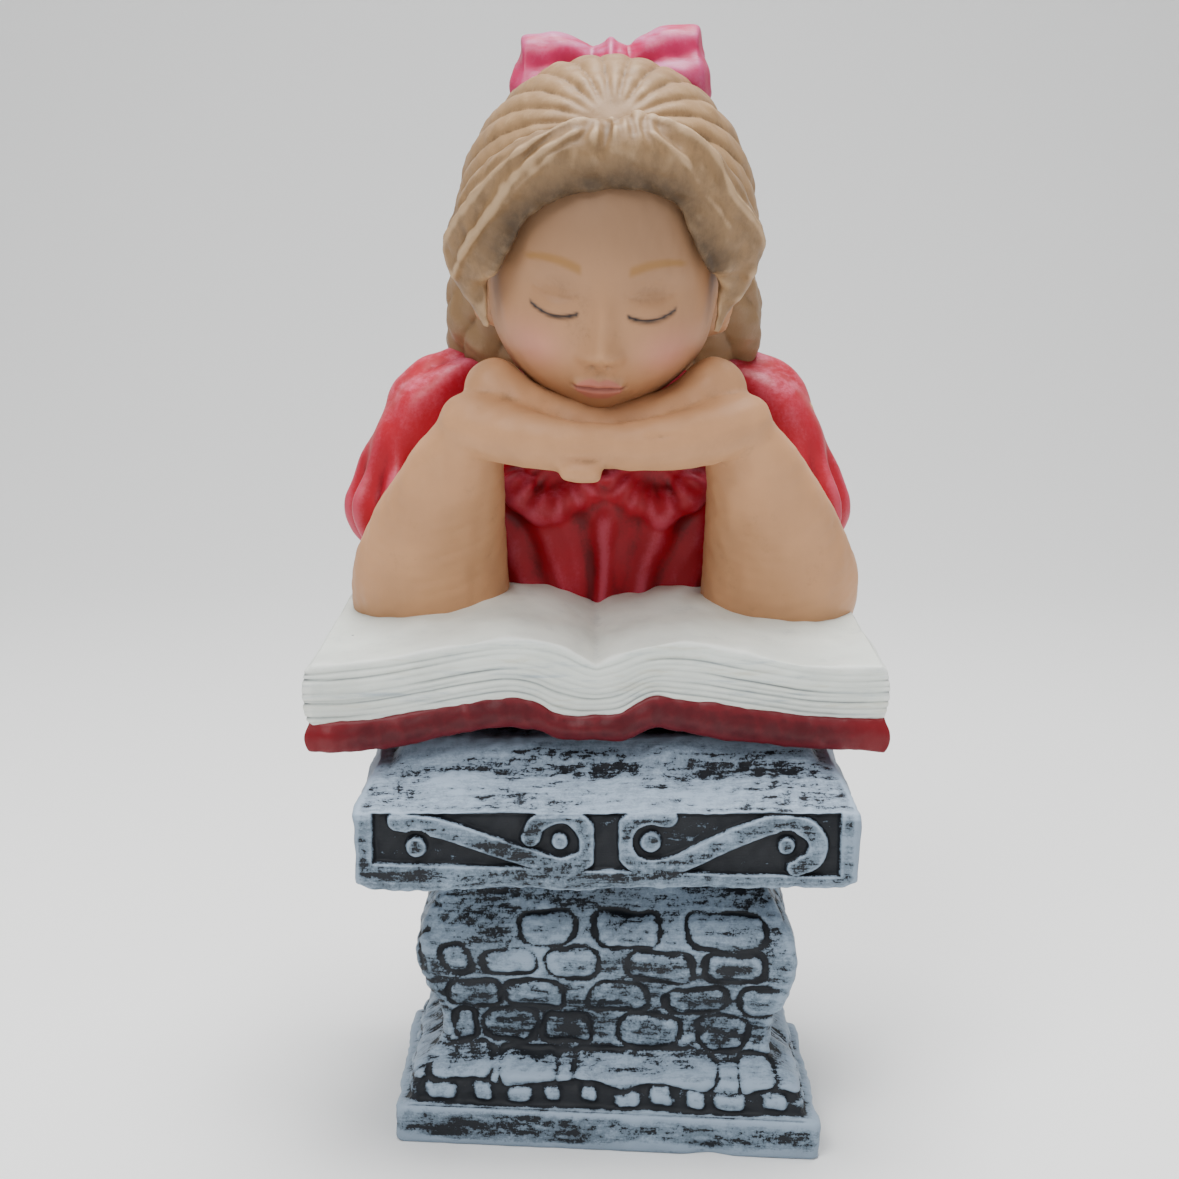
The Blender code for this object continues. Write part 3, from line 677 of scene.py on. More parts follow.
def pedestal_rings():
    sizes = pedestal_sizes()
    wide, deep = sizes.plinth_half, sizes.plinth_deep
    levels = [(0.0, wide * share, deep * share) for share in (0.2, 0.5, 0.8, 0.95)]
    levels += [(0.0, wide - 0.0012, deep - 0.0012)]
    levels += [(z, wide, deep) for z in np.linspace(0.0012, sizes.plinth_top - 0.0020, 12)]
    levels += [(sizes.plinth_top - 0.0006, wide - 0.0008, deep - 0.0008),
               (sizes.plinth_top, wide - 0.0025, deep - 0.0025)]
    ledge = sizes.foot + 0.001
    levels += [(sizes.plinth_top + 0.0006, ledge + 0.001, ledge + 0.001 - sizes.slimmer_deep)]
    for z in np.linspace(sizes.plinth_top + 0.0012, sizes.column_top + 0.006, 140):
        half = float(column_half(max(z, sizes.step_top)))
        levels.append((z, half, half - sizes.slimmer_deep))
    return levels


def make_pedestal():
    rings, joints = [], []
    for z, half_x, half_y in pedestal_rings():
        spots, outs, sides, alongs = rounded_rectangle(half_x, half_y, 0.005, (150, 84, 8))
        rise, joint = np.zeros(len(spots)), np.zeros(len(spots))
        for side in ("front", "right", "back", "left"):
            chosen = sides == side
            rise[chosen], joint[chosen] = pedestal_relief(side, alongs[chosen], np.full(chosen.sum(), z))
        spots = spots + outs * rise[:, None]
        rings.append(np.column_stack([spots, np.full(len(spots), z)]))
        joints.append(joint)
    obj = skin_over("column_and_plinth", rings, {"recess": np.array(joints)})
    points = coordinates(obj)
    rough = 0.0009 * unevenness(points, 0.030, 21) + 0.0004 * unevenness(points, 0.008, 22)
    above = blend(points[:, 2], 0.0005, 0.004)
    points = points + (rough * above)[:, None] * normals(obj)
    chipped(points)
    move_points(obj, twisted(points))
    mark_relief(obj, 0.0016)
    finish_piece(obj, brushed_stone("brushed_pedestal", 0.06))


def chipped(points):
    """Knock the plinth's edges about: one bite out of the front edge, and small wear along all edges."""
    sizes = pedestal_sizes()
    low = points[:, 2] < sizes.plinth_top + 0.004
    near = low & (np.maximum(np.abs(points[:, 0]) - sizes.plinth_half,
                             np.abs(points[:, 1]) - sizes.plinth_deep) > -0.004)
    bite = np.exp(-((points[:, 0] - 0.0585) / 0.009) ** 2 - ((points[:, 2] - 0.004) / 0.006) ** 2)
    points[:, 1] += np.where(near & (points[:, 1] < 0), 0.005 * bite, 0.0)
    wear = 0.5 + 0.5 * unevenness(points, 0.02, 31)
    points[:, :2] *= np.where(near, 1 - 0.006 * wear, 1.0)[:, None]


# Slab

# Scrollwork on the slab's front: the bands' middle lines as (across, height), and the bosses with their radii
LEFT_SCROLL = ((-0.1120, 0.2000), (-0.0905, 0.1962), (-0.0666, 0.1885), (-0.0420, 0.1795), (-0.0249, 0.1748),
               (-0.0115, 0.1795), (-0.0095, 0.1905), (-0.0170, 0.2015), (-0.0270, 0.2035), (-0.0370, 0.1985),
               (-0.0405, 0.1910))
RIGHT_SCROLL = ((0.0330, 0.2020), (0.0220, 0.2035), (0.0115, 0.1975), (0.0095, 0.1860), (0.0165, 0.1765),
                (0.0300, 0.1740), (0.0463, 0.1795), (0.0618, 0.1875), (0.0768, 0.1941), (0.0912, 0.1985),
                (0.1060, 0.1965), (0.1135, 0.1885), (0.1110, 0.1790), (0.1020, 0.1745))
BOSSES = ((-0.1019, 0.1857, 0.0068), (-0.0249, 0.1885, 0.0056), (0.0238, 0.1885, 0.0068),
          (0.0966, 0.1863, 0.0060))


def scroll_relief(x, z):
    """The slab's carved front: 0 on the bands and bosses, down to -1 in the ground between them."""
    spots = np.stack([x, z], axis=1)
    half = pedestal_sizes().band / 2
    raised = np.zeros(len(x))
    for path in (LEFT_SCROLL, RIGHT_SCROLL):
        distance, _ = path_distance(spots, smooth_path(path))
        raised = np.maximum(raised, blend(half + 0.0022 - distance, 0.0, 0.0020))
    for across, height, radius in BOSSES:
        distance = np.hypot(x - across, z - height)
        raised = np.where(distance < radius + 0.0030, blend(radius - distance, 0.0, 0.0022), raised)
    raised = np.maximum(raised, blend(z, 0.2030, 0.2050))
    raised = np.maximum(raised, 1 - blend(z, 0.1722 - 0.03 * x, 0.1742 - 0.03 * x))
    raised = np.maximum(raised, blend(np.abs(x), 0.1235, 0.1265))
    middle = (1 - blend(np.abs(x), 0.0055, 0.0072)) * blend(z, 0.1745, 0.1765)
    return raised * (1 - middle) - 1


def make_slab():
    sizes, book = pedestal_sizes(), book_sizes()
    half = sizes.slab_half
    low, high, front, back = sizes.slab_low, sizes.slab_high, sizes.slab_front, sizes.slab_back
    crown, crown_at = sizes.slab_crown, sizes.slab_crown_at
    bed = book.cover_foot + 0.004
    corners = [(back, low + 0.006, 0), (back, crown - 0.004, 14), (back - 0.004, crown, 4),
               (crown_at + 0.010, crown + 0.001, 30),
               (crown_at + 0.004, crown, 5), (crown_at, crown - 0.001, 5), (front + 0.006, high, 26),
               (front + 0.0015, high - 0.0012, 4),
               (front, high - 0.004, 4), (front, low + 0.006, 72), (front + 0.002, low + 0.0015, 5),
               (front + 0.006, low, 4),
               (back - 0.006, low, 26), (back, low + 0.006, 5)]
    profile = []
    for (y0, z0, _), (y1, z1, count) in zip(corners, corners[1:]):
        profile += [(y0 + (y1 - y0) * k / count, z0 + (z1 - z0) * k / count) for k in range(count)]
    profile = np.array(profile)
    centre = profile.mean(axis=0)
    stations = [(-half, share) for share in (0.15, 0.4, 0.65, 0.85, 0.955, 0.985)]
    stations += [(x, 1.0) for x in np.linspace(-half + 0.0015, half - 0.0015, 420)]
    stations += [(half, share) for share in (0.985, 0.955, 0.85, 0.65, 0.4, 0.15)]
    rings = []
    for x, share in stations:
        ring = centre + (profile - centre) * share
        rings.append(np.column_stack([np.full(len(ring), x), ring]))
    obj = skin_over("slab", rings)
    points = coordinates(obj)
    x, y, z = points.T.copy()
    on_front = (y < front + 0.004) & (z > low + 0.004) & (z < high - 0.0015)
    scroll = np.where(on_front, scroll_relief(x, z), 0.0)
    points[:, 1] -= 1.35 * sizes.relief * scroll
    store(obj, "recess", -scroll)
    under_book = blend(y, crown_at - 0.012, crown_at + 0.012) * blend(z, crown - 0.006, crown - 0.002)
    points[:, 2] += (bed - crown) * under_book * (1 - blend(np.abs(x), 0.118, 0.128))
    points[:, 0] *= 1 - 0.075 * blend(z, high - 0.002, crown + 0.006)
    points[:, 2] += (0.0035 - 0.018 * x) * (1 - blend(z, low, low + 0.012)) * blend(x, -0.14, 0.14)
    # Cast corners and edges are round and a little wavy
    ends = blend(np.abs(x), half - 0.012, half)
    points[:, 2] += ends * (0.0030 * (1 - blend(z, low, low + 0.02)) - 0.0015 * blend(z, high - 0.01, high))
    points = points + (0.0013 * unevenness(points, 0.040, 41) + 0.0005
                       * unevenness(points, 0.009, 42))[:, None] * normals(obj)
    move_points(obj, points)
    mark_relief(obj, 0.0014)
    finish_piece(obj, brushed_stone("brushed_slab"))


# Book

# Front edges of the book, each as (share of the half width, height over or under the named level)
PAGE_EDGE = ((-1.0, 0.000), (-0.90, 0.0010), (-0.76, 0.0035), (-0.50, 0.0110), (-0.26, 0.0150),
             (-0.12, 0.0110), (-0.03, 0.0035),
             (0.0, 0.0022), (0.03, 0.0035), (0.14, 0.0095), (0.29, 0.0132), (0.50, 0.0075), (0.72, 0.0005),
             (0.92, -0.0005), (1.0, 0.0))
FOOT_EDGE = ((-1.0, -0.0010), (-0.86, -0.0005), (-0.70, 0.0030), (-0.43, 0.0112), (-0.28, 0.0136),
             (-0.21, 0.0105), (-0.15, 0.0050),
             (0.0, 0.0030), (0.10, 0.0058), (0.14, 0.0100), (0.18, 0.0130), (0.30, 0.0120), (0.52, 0.0072),
             (0.83, 0.0010), (1.0, 0.0010))
COVER_EDGE = ((-1.0, 0.0010), (-0.79, 0.0010), (-0.45, 0.0120), (-0.24, 0.0148), (-0.19, 0.0135),
              (-0.15, 0.0095), (0.0, 0.0080),
              (0.11, 0.0085), (0.14, 0.0110), (0.18, 0.0140), (0.30, 0.0115), (0.54, 0.0056), (0.78, 0.0030),
              (1.0, 0.0))


def book_rings(top, bottom, front_at, back_at, widen, columns, counts):
    """Rings across the book for a layer between two levels: front, top, back and underside at each place."""
    front_count, deep_count = counts
    book = book_sizes()
    rings = []
    ends = (0.15, 0.45, 0.7, 0.86, 0.95, 0.985)
    stations = [(-1.0, share) for share in ends] + [(s, 1.0) for s in np.linspace(-1, 1, columns)]
    stations += [(1.0, share) for share in reversed(ends)]
    for s, share in stations:
        ring = []
        for k in range(front_count):
            part = k / front_count
            ring.append((front_at, part))
        for k in range(deep_count):
            ring.append((front_at + (back_at - front_at) * k / deep_count, 1.0))
        for k in range(front_count // 2):
            ring.append((back_at, 1.0 - 2 * k / front_count))
        for k in range(deep_count):
            ring.append((back_at + (front_at - back_at) * k / deep_count, 0.0))
        y, part = np.array(ring).T
        across = (y - book.front) / (book.back - book.front)
        half = book.half_front + (book.half_back - book.half_front) * across + widen
        low, high = bottom(s, y), top(s, y)
        z = low + (high - low) * part
        middle_y, middle_z = (front_at + back_at) / 2, (low + high).mean() / 2
        y = middle_y + (y - middle_y) * share
        z = middle_z + (z - middle_z) * share
        rings.append(np.column_stack([s * half, y, z]))
    return rings


def page_top(s, y):
    book = book_sizes()
    rise = np.clip((y - book.front) / (book.back - book.front), 0, 1)
    level = book.page_top_front + (book.page_top_back - book.page_top_front) * rise
    edge = curve(np.full(len(y), s), PAGE_EDGE)
    return level + edge * (1 - 0.35 * rise)


def block_foot(s, y):
    return book_sizes().page_foot + curve(np.full(len(y), s), FOOT_EDGE)


def cover_foot(s, y):
    return book_sizes().cover_foot + curve(np.full(len(y), s), COVER_EDGE)


# Wavy lines of the leaves on the block's edges: share of the block's height, wave, strength and seed
PAGE_CREASES = ((0.86, 0.030, 0.55, 1), (0.74, 0.045, 0.80, 2), (0.63, 0.040, 0.45, 3),
                (0.52, 0.055, 1.00, 4),
                (0.42, 0.045, 0.50, 5),
                (0.33, 0.050, 0.85, 6), (0.22, 0.035, 0.45, 7), (0.12, 0.030, 0.75, 8))


def page_creases(s, part):
    """Where the leaves' lines run on the block's edges: long wavy grooves that fade in and out."""
    crease = np.zeros(len(s))
    for height, wave, strength, seed in PAGE_CREASES:
        place = np.stack([s, 0 * s, 0 * s], axis=1)
        line = height + wave * unevenness(place, 0.75, seed) * (0.4 + 0.6 * np.abs(s))
        shown = strength * (0.25 + 0.75 * blend(unevenness(place, 0.55, seed + 20), -0.35, 0.25))
        crease = np.maximum(crease, shown * np.exp(-((part - line) / 0.015) ** 2))
    return crease


def make_pages():
    book = book_sizes()
    rings = book_rings(page_top, lambda s, y: block_foot(s, y) - 0.001, book.front, book.back - 0.001, 0.0,
                       400, (48, 48))
    obj = skin_over("pages", rings)
    points = coordinates(obj)
    x, y, z = points.T.copy()
    half = book.half_front + (book.half_back - book.half_front) * (y - book.front) / (book.back - book.front)
    s = np.clip(x / half, -1, 1)
    low = book.page_foot + curve(s, FOOT_EDGE)
    climb = book.page_top_back - book.page_top_front
    high = book.page_top_front + climb * (y - book.front) / (book.back - book.front)
    high = high + curve(s, PAGE_EDGE)
    part = np.clip((z - low) / (high - low), 0, 1)
    on_front = 1 - blend(y, book.front + 0.001, book.front + 0.004)
    on_side = blend(np.abs(s), 0.985, 0.999)
    crease = page_creases(s, part) * (on_front + on_side)
    belly = np.sin(math.pi * part) ** 0.8
    points[:, 1] += on_front * (0.0024 * crease - 0.0022 * belly + 0.0015)
    points[:, 0] += np.sign(x) * on_side * (0.0030 * belly - 0.0012 * crease)
    corner = on_side * (blend(part, 0.9, 1.0) + (1 - blend(part, 0.0, 0.08)))
    points[:, 0] -= np.sign(x) * 0.0022 * corner
    gutter = np.exp(-(x / 0.0045) ** 2) * blend(part, 0.9, 1.0)
    points[:, 2] -= 0.0016 * gutter
    points[:, 0] += book.aside
    points = points + (0.0010 * unevenness(points, 0.045, 52) + 0.0003
                       * unevenness(points, 0.010, 53))[:, None] * normals(obj)
    move_points(obj, relaxed(obj, points, 2))
    mark_relief(obj, 0.0016)
    store(obj, "crease", crease)
    colours = paints()
    # Painted shade in the pages' hollows, and dry-brushing with painted highlight on their ridges
    nodes, base, height = soft_paint("page_paint", colours.page, (0.22, 0.26, 0.29), (0.82, 0.83, 0.79), 0.48,
                                     70, 0.45, 0.5)
    streaks = nodes.noise(60, 6, 0.7, (0.25, 1.0, 2.6))
    blue = nodes.times(nodes.ramp(streaks, 0.50, 0.72), nodes.minus(1.0, nodes.mark("upward")))
    base = nodes.mix(nodes.times(blue, 0.62), base, (0.24, 0.32, 0.40))
    beige = nodes.times(nodes.ramp(streaks, 0.46, 0.30), nodes.minus(1.0, nodes.mark("upward")))
    base = nodes.mix(nodes.times(beige, 0.55), base, (0.50, 0.46, 0.32))
    base = nodes.mix(nodes.times(nodes.mark("crease"), 0.75), base, (0.14, 0.17, 0.18))
    finish_piece(obj, nodes.finish(base, height, 0.35, 0.0006))


def make_cover():
    book = book_sizes()
    rings = book_rings(lambda s, y: block_foot(s, y) + 0.0015, cover_foot, book.front - 0.001,
                       book.back + 0.001, 0.001, 320, (16, 30))
    obj = skin_over("cover", rings)
    points = coordinates(obj)
    x, y, z = points.T.copy()
    s = np.clip(x / book.half_front, -1, 1)
    low = book.cover_foot + curve(s, COVER_EDGE)
    part = np.clip((z - low) / (book.page_foot + curve(s, FOOT_EDGE) - low), 0, 1)
    belly = np.sin(math.pi * part)
    points[:, 1] -= (1 - blend(y, book.front, book.front + 0.003)) * (0.0024 * belly - 0.0012)
    points[:, 0] += np.sign(x) * blend(np.abs(s), 0.97, 0.99) * (0.003 * belly - 0.0010)
    points[:, 0] += book.aside
    points = points + (0.0011 * unevenness(points, 0.030, 61) + 0.0005
                       * unevenness(points, 0.008, 62))[:, None] * normals(obj)
    move_points(obj, relaxed(obj, points, 3))
    mark_relief(obj, 0.0014)
    points = coordinates(obj)
    store(obj, "lit_end", blend(np.abs(points[:, 0] - book.aside), 0.125, 0.156))
    colours = paints()
    # Painted shade in the cover's hollows, and dry-brushing with painted highlight on its ridges
    nodes, base, height = soft_paint("cover_paint", colours.cover, tuple(0.3 * c for c in colours.cover),
                                     (0.17, 0.010, 0.016), 0.45,
                                     80, 0.8, 0.5)
    patches = nodes.ramp(nodes.noise(40, 5, 0.65, (0.5, 1.0, 1.6)), 0.50, 0.72)
    base = nodes.mix(nodes.times(patches, 0.35), base, (0.14, 0.005, 0.010))
    base = nodes.mix(nodes.times(nodes.mark("lit_end"), 0.8), base, (0.17, 0.002, 0.007))
    finish_piece(obj, nodes.finish(base, height, 0.4, 0.0007))


# Girl

def on_side(spot, side):
    return np.array((spot[0] * side, spot[1], spot[2]), float)


def dress_body():
    """The body of the dress, from inside the book up to the neck."""
    sizes = girl_sizes()
    levels = ((0.215, 0.092, 0.034), (0.262, 0.090, 0.036), (0.300, 0.092, 0.040), (0.350, 0.104, 0.045),
              (0.385, 0.110, 0.044), (0.408, 0.104, 0.038), (sizes.shoulder_at, 0.084, 0.032),
              (0.442, 0.052, 0.026),
              (0.450, 0.030, 0.018))
    heights = np.linspace(levels[0][0], levels[-1][0], 60)
    around = 2 * math.pi * np.arange(96) / 96
    rings = []
    for z in heights:
        half = curve(np.array([z]), [(level[0], level[1]) for level in levels])[0]
        depth = curve(np.array([z]), [(level[0], level[2]) for level in levels])[0]
        rings.append(np.column_stack([half * np.cos(around),
                                      sizes.chest_back - 0.048 + depth * np.sin(around),
                                      np.full(96, z)]))
    return skin_over("dress_body", rings)


def sleeve(side):
    path = [(0.080 * side - 0.003, 0.106, 0.414), (0.099 * side - 0.003, 0.102, 0.399),
            (0.111 * side - 0.004, 0.099, 0.370),
            (0.117 * side - 0.004, 0.095, 0.340)]
    return limb("sleeve", path, [0.024, 0.030, 0.031, 0.034], 64)


def swag(side):
    """One of the two round gathers over the chest, above the pleats."""
    turns = (0.0, 0.4, 0.8, 1.2, 1.55)
    path = [(side * (0.002 + 0.050 * math.sin(t)), 0.062, 0.362 - 0.016 * math.sin(2 * t)) for t in turns]
    return limb("swag", path, [(0.007, 0.011)] * 5, 24)


def make_dress():
    parts = [dress_body()]
    for side in (-1, 1):
        parts += [sleeve(side), swag(side)]
    obj = melt("dress", parts, 0.0015, 8)
    points = coordinates(obj)
    x, y, z = points.T.copy()
    # Pleats fan out from the swags to the lap in front, and hang straight behind
    chest = blend(-y, -0.085, -0.070) * (1 - blend(z, 0.335, 0.352)) * (1 - blend(np.abs(x), 0.075, 0.095))
    fan = np.arctan2(x, z - 0.200)
    wander = 0.5 * unevenness(points, 0.05, 72)
    pleat = np.cos(fan * 27 + wander) + 0.4 * np.cos(fan * 47 + 2 * wander + 1.0)
    push = 0.0024 * chest * pleat
    behind = blend(y, 0.118, 0.130) * (1 - blend(z, 0.385, 0.405))
    push += 0.0022 * behind * np.cos(x * 2 * math.pi / 0.022 + 1.5 * np.sin(12 * z))
    # Creases gathered across the swags
    for side in (-1, 1):
        angle_in = np.arctan2(z - 0.376, x - side * 0.027)
        ring = np.exp(-((np.hypot(x - side * 0.027, (z - 0.366) * 1.3) - 0.022) / 0.012) ** 2)
        gather = 0.0010 * ring * np.cos(angle_in * 16 + wander)
        push += gather * blend(-y, -0.075, -0.062) * blend(z, 0.325, 0.335)
    # Folds running down the sleeves to the flared hem
    out = np.abs(x + 0.004)
    hem = blend(out, 0.094, 0.106) * (1 - blend(z, 0.345, 0.390)) * blend(z, 0.300, 0.312)
    turn = np.arctan2(y - 0.097, out - 0.114)
    push += 0.0045 * hem * np.cos(turn * 9 + wander)
    shoulder = blend(z, 0.360, 0.395) * blend(out, 0.045, 0.060)
    push += 0.0024 * shoulder * np.cos(np.arctan2(y - 0.100, out - 0.055) * 9 + 40 * z + wander)
    push += 0.0010 * unevenness(points, 0.022, 71)
    move_points(obj, relaxed(obj, points + push[:, None] * normals(obj), 2))
    mark_relief(obj, 0.0024, 40)
    colours = paints()
    # deep is the painted shade in the dress's hollows
    deep = tuple(0.30 * c for c in colours.dress)
    nodes, base, height = soft_paint("dress_paint", colours.dress, deep, colours.dress_light, 0.42, 80, 0.85,
                                     0.25)
    # Dry-brushed pink with painted highlight on the dress's upward faces, such as the shoulders' tops
    brushed = nodes.ramp(nodes.noise(55, 5, 0.7, (1.0, 1.0, 2.0)), 0.42, 0.75)
    high = nodes.times(nodes.ramp(nodes.mark("upward"), 0.15, 0.85), brushed)
    base = nodes.mix(nodes.times(high, 0.75), base, colours.dress_light)
    finish_piece(obj, nodes.finish(base, height, 0.4, 0.0006))


def arm(side):
    """Raised forearm, wide at the elbow on the page, and the upper arm behind it inside the sleeve."""
    sizes = girl_sizes()
    elbow, shoulder = np.array(sizes.elbow), np.array(sizes.shoulder)
    centres = ((0.103, 0.066, 0.276), (0.104, 0.062, 0.292), (0.103, 0.054, 0.318), (0.095, 0.036, 0.352),
               (0.084, 0.018, 0.384), (0.074, 0.008, 0.404))
    widths = ((0.045, 0.038), (0.047, 0.040), (0.045, 0.038), (0.037, 0.031), (0.027, 0.024), (0.020, 0.019))
    fore = flat_limb("forearm", [on_side(spot, side) for spot in centres], widths)
    upper = limb("upper_arm", [on_side(shoulder, side), on_side(elbow + (-0.010, 0.036, 0.040), side),
                               on_side(elbow + (-0.008, 0.022, 0.004), side)], [0.016, 0.022, 0.032])
    return [fore, upper]


def hand(side, level, forward):
    """One hand laid flat under the chin: palm, heel against the cheek, and fingers side by side in front."""
    palm = limb("palm", [on_side((0.077, 0.008, 0.403), side), on_side((0.056, -0.006, level + 0.005), side),
                         on_side((0.026, forward, level), side),
                         on_side((-0.010, forward, level - 0.001), side)],
                [(0.020, 0.018), (0.017, 0.017), (0.014, 0.015), (0.011, 0.012)])
    cup = limb("cup", [on_side((0.065, 0.022, 0.422), side), on_side((0.040, 0.014, 0.404), side),
                       on_side((0.0, 0.012, 0.395), side)], [0.018, 0.019, 0.018])
    return [palm, cup]


def make_arms():
    parts = hand(1, 0.393, -0.016) + hand(-1, 0.394, -0.019)
    for side in (-1, 1):
        parts += arm(side)
    parts.append(limb("neck", [(0, 0.106, 0.420), (0, 0.092, 0.450), (0, 0.075, 0.480)],
                      [0.036, 0.031, 0.032]))
    parts.append(limb("fingertip", [(-0.022, -0.026, 0.3795), (-0.006, -0.028, 0.3785)],
                      [(0.0065, 0.0055)] * 2))
    obj = melt("arms_and_hands", parts, 0.0014, 22)
    # Fingers: long shallow grooves across the front of the hands
    for path in (((0.030, -0.030, 0.3945), (0.004, -0.033, 0.3935), (-0.026, -0.033, 0.3925)),
                 ((0.024, -0.030, 0.3865), (-0.002, -0.031, 0.3855), (-0.030, -0.031, 0.3865)),
                 ((0.050, -0.024, 0.3990), (0.020, -0.030, 0.4000), (0.000, -0.031, 0.3995))):
        carve(obj, smooth_path(path), 0.0016, 0.0013, 0.35)
    points = coordinates(obj)
    push = 0.0007 * unevenness(points, 0.028, 81) + 0.0003 * unevenness(points, 0.009, 82)
    move_points(obj, points + push[:, None] * normals(obj))
    mark_relief(obj, 0.0030, 40)
    nodes, base, height = skin_paint("arm_paint")
    finish_piece(obj, nodes.finish(base, height, 0.3, 0.0005))


def skin_paint(name):
    colours = paints()
    # shade is the painted shade in the skin's hollows, and light the dry-brushing and painted highlight on
    # its ridges
    shade = (0.20, 0.105, 0.050)
    light = tuple(min(1.15 * c, 1) for c in colours.skin)
    return soft_paint(name, colours.skin, shade, light, 0.5, 60, 0.8, 0.4)


def head_turn():
    sizes = girl_sizes()
    return np.array(Matrix.Rotation(sizes.roll, 3, "Y") @ Matrix.Rotation(sizes.nod, 3, "X"))


def in_head(points):
    """Points in the head's own upright frame."""
    return (points - np.array(girl_sizes().head_at)) @ head_turn()


def out_of_head(spots):
    return spots @ head_turn().T + np.array(girl_sizes().head_at)


EYE_AT = 0.0265


def face_relief(x, z):
    """How far a calm, evenly built child's face stands out from the egg-shaped head."""
    side = np.abs(x)
    out = 0.0105 * bump(x, z, (0, -0.036), (0.0085, 0.0085))
    out = out + 0.0060 * bump(x, z, (0, -0.020), (0.0065, 0.0150))
    out += 0.0035 * bump(side, z, (0.0080, -0.039), (0.0050, 0.0048))
    out -= 0.0060 * bump(side, z, (EYE_AT, -0.008), (0.0130, 0.0100))
    out += 0.0052 * bump(side, z, (EYE_AT, -0.012), (0.0100, 0.0065))
    out += 0.0050 * bump(side, z, (0.036, -0.038), (0.0180, 0.0170))
    out += 0.0068 * bump(x, z, (0, -0.080), (0.0150, 0.0100))
    # Nostrils, the groove under the nose, and the lips with the line between them
    out -= 0.0026 * bump(side, z, (0.0042, -0.0445), (0.0022, 0.0018))
    out -= 0.0009 * bump(x, z, (0, -0.0500), (0.0028, 0.0035))
    upper = curve(side, ((0.0, -0.0556), (0.004, -0.0546), (0.009, -0.0562), (0.015, -0.0588)))
    lower = curve(side, ((0.0, -0.0668), (0.006, -0.0660), (0.011, -0.0632), (0.015, -0.0600)))
    seam = mouth_line(side)
    width = 1 - blend(side, 0.0115, 0.0160)
    out += 0.0022 * width * np.exp(-((z - (upper + seam) / 2) / 0.0034) ** 2)
    out += 0.0027 * width * np.exp(-((z - (lower + seam) / 2) / 0.0042) ** 2)
    out -= 0.0026 * (1 - blend(side, 0.0135, 0.0170)) * np.exp(-((z - seam) / 0.0011) ** 2)
    # Lowered upper lids: a ball under each, the lid's edge and the crease over it
    lid = lid_line(side)
    across = 1 - blend(np.abs(side - EYE_AT), 0.0105, 0.0145)
    out -= 0.0016 * across * np.exp(-((z - lid + 0.0008) / 0.0011) ** 2)
    out += 0.0010 * across * np.exp(-((z - lid - 0.0016) / 0.0014) ** 2)
    out -= 0.0010 * across * np.exp(-((z - lid - 0.0098) / 0.0013) ** 2)
    return out


def mouth_line(side):
    return -0.0607 + 0.0010 * (side / 0.015) ** 2


def lid_line(side):
    """Height of the lowered upper lid's edge, at a distance from the middle of the face."""
    return -0.0150 - 0.0036 * (1 - ((side - EYE_AT + 0.001) / 0.0135) ** 2)


def brow_line(side):
    return 0.0075 + 0.0048 * np.sin(np.clip((side - 0.010) / 0.034, 0, 1) * math.pi * 0.85)


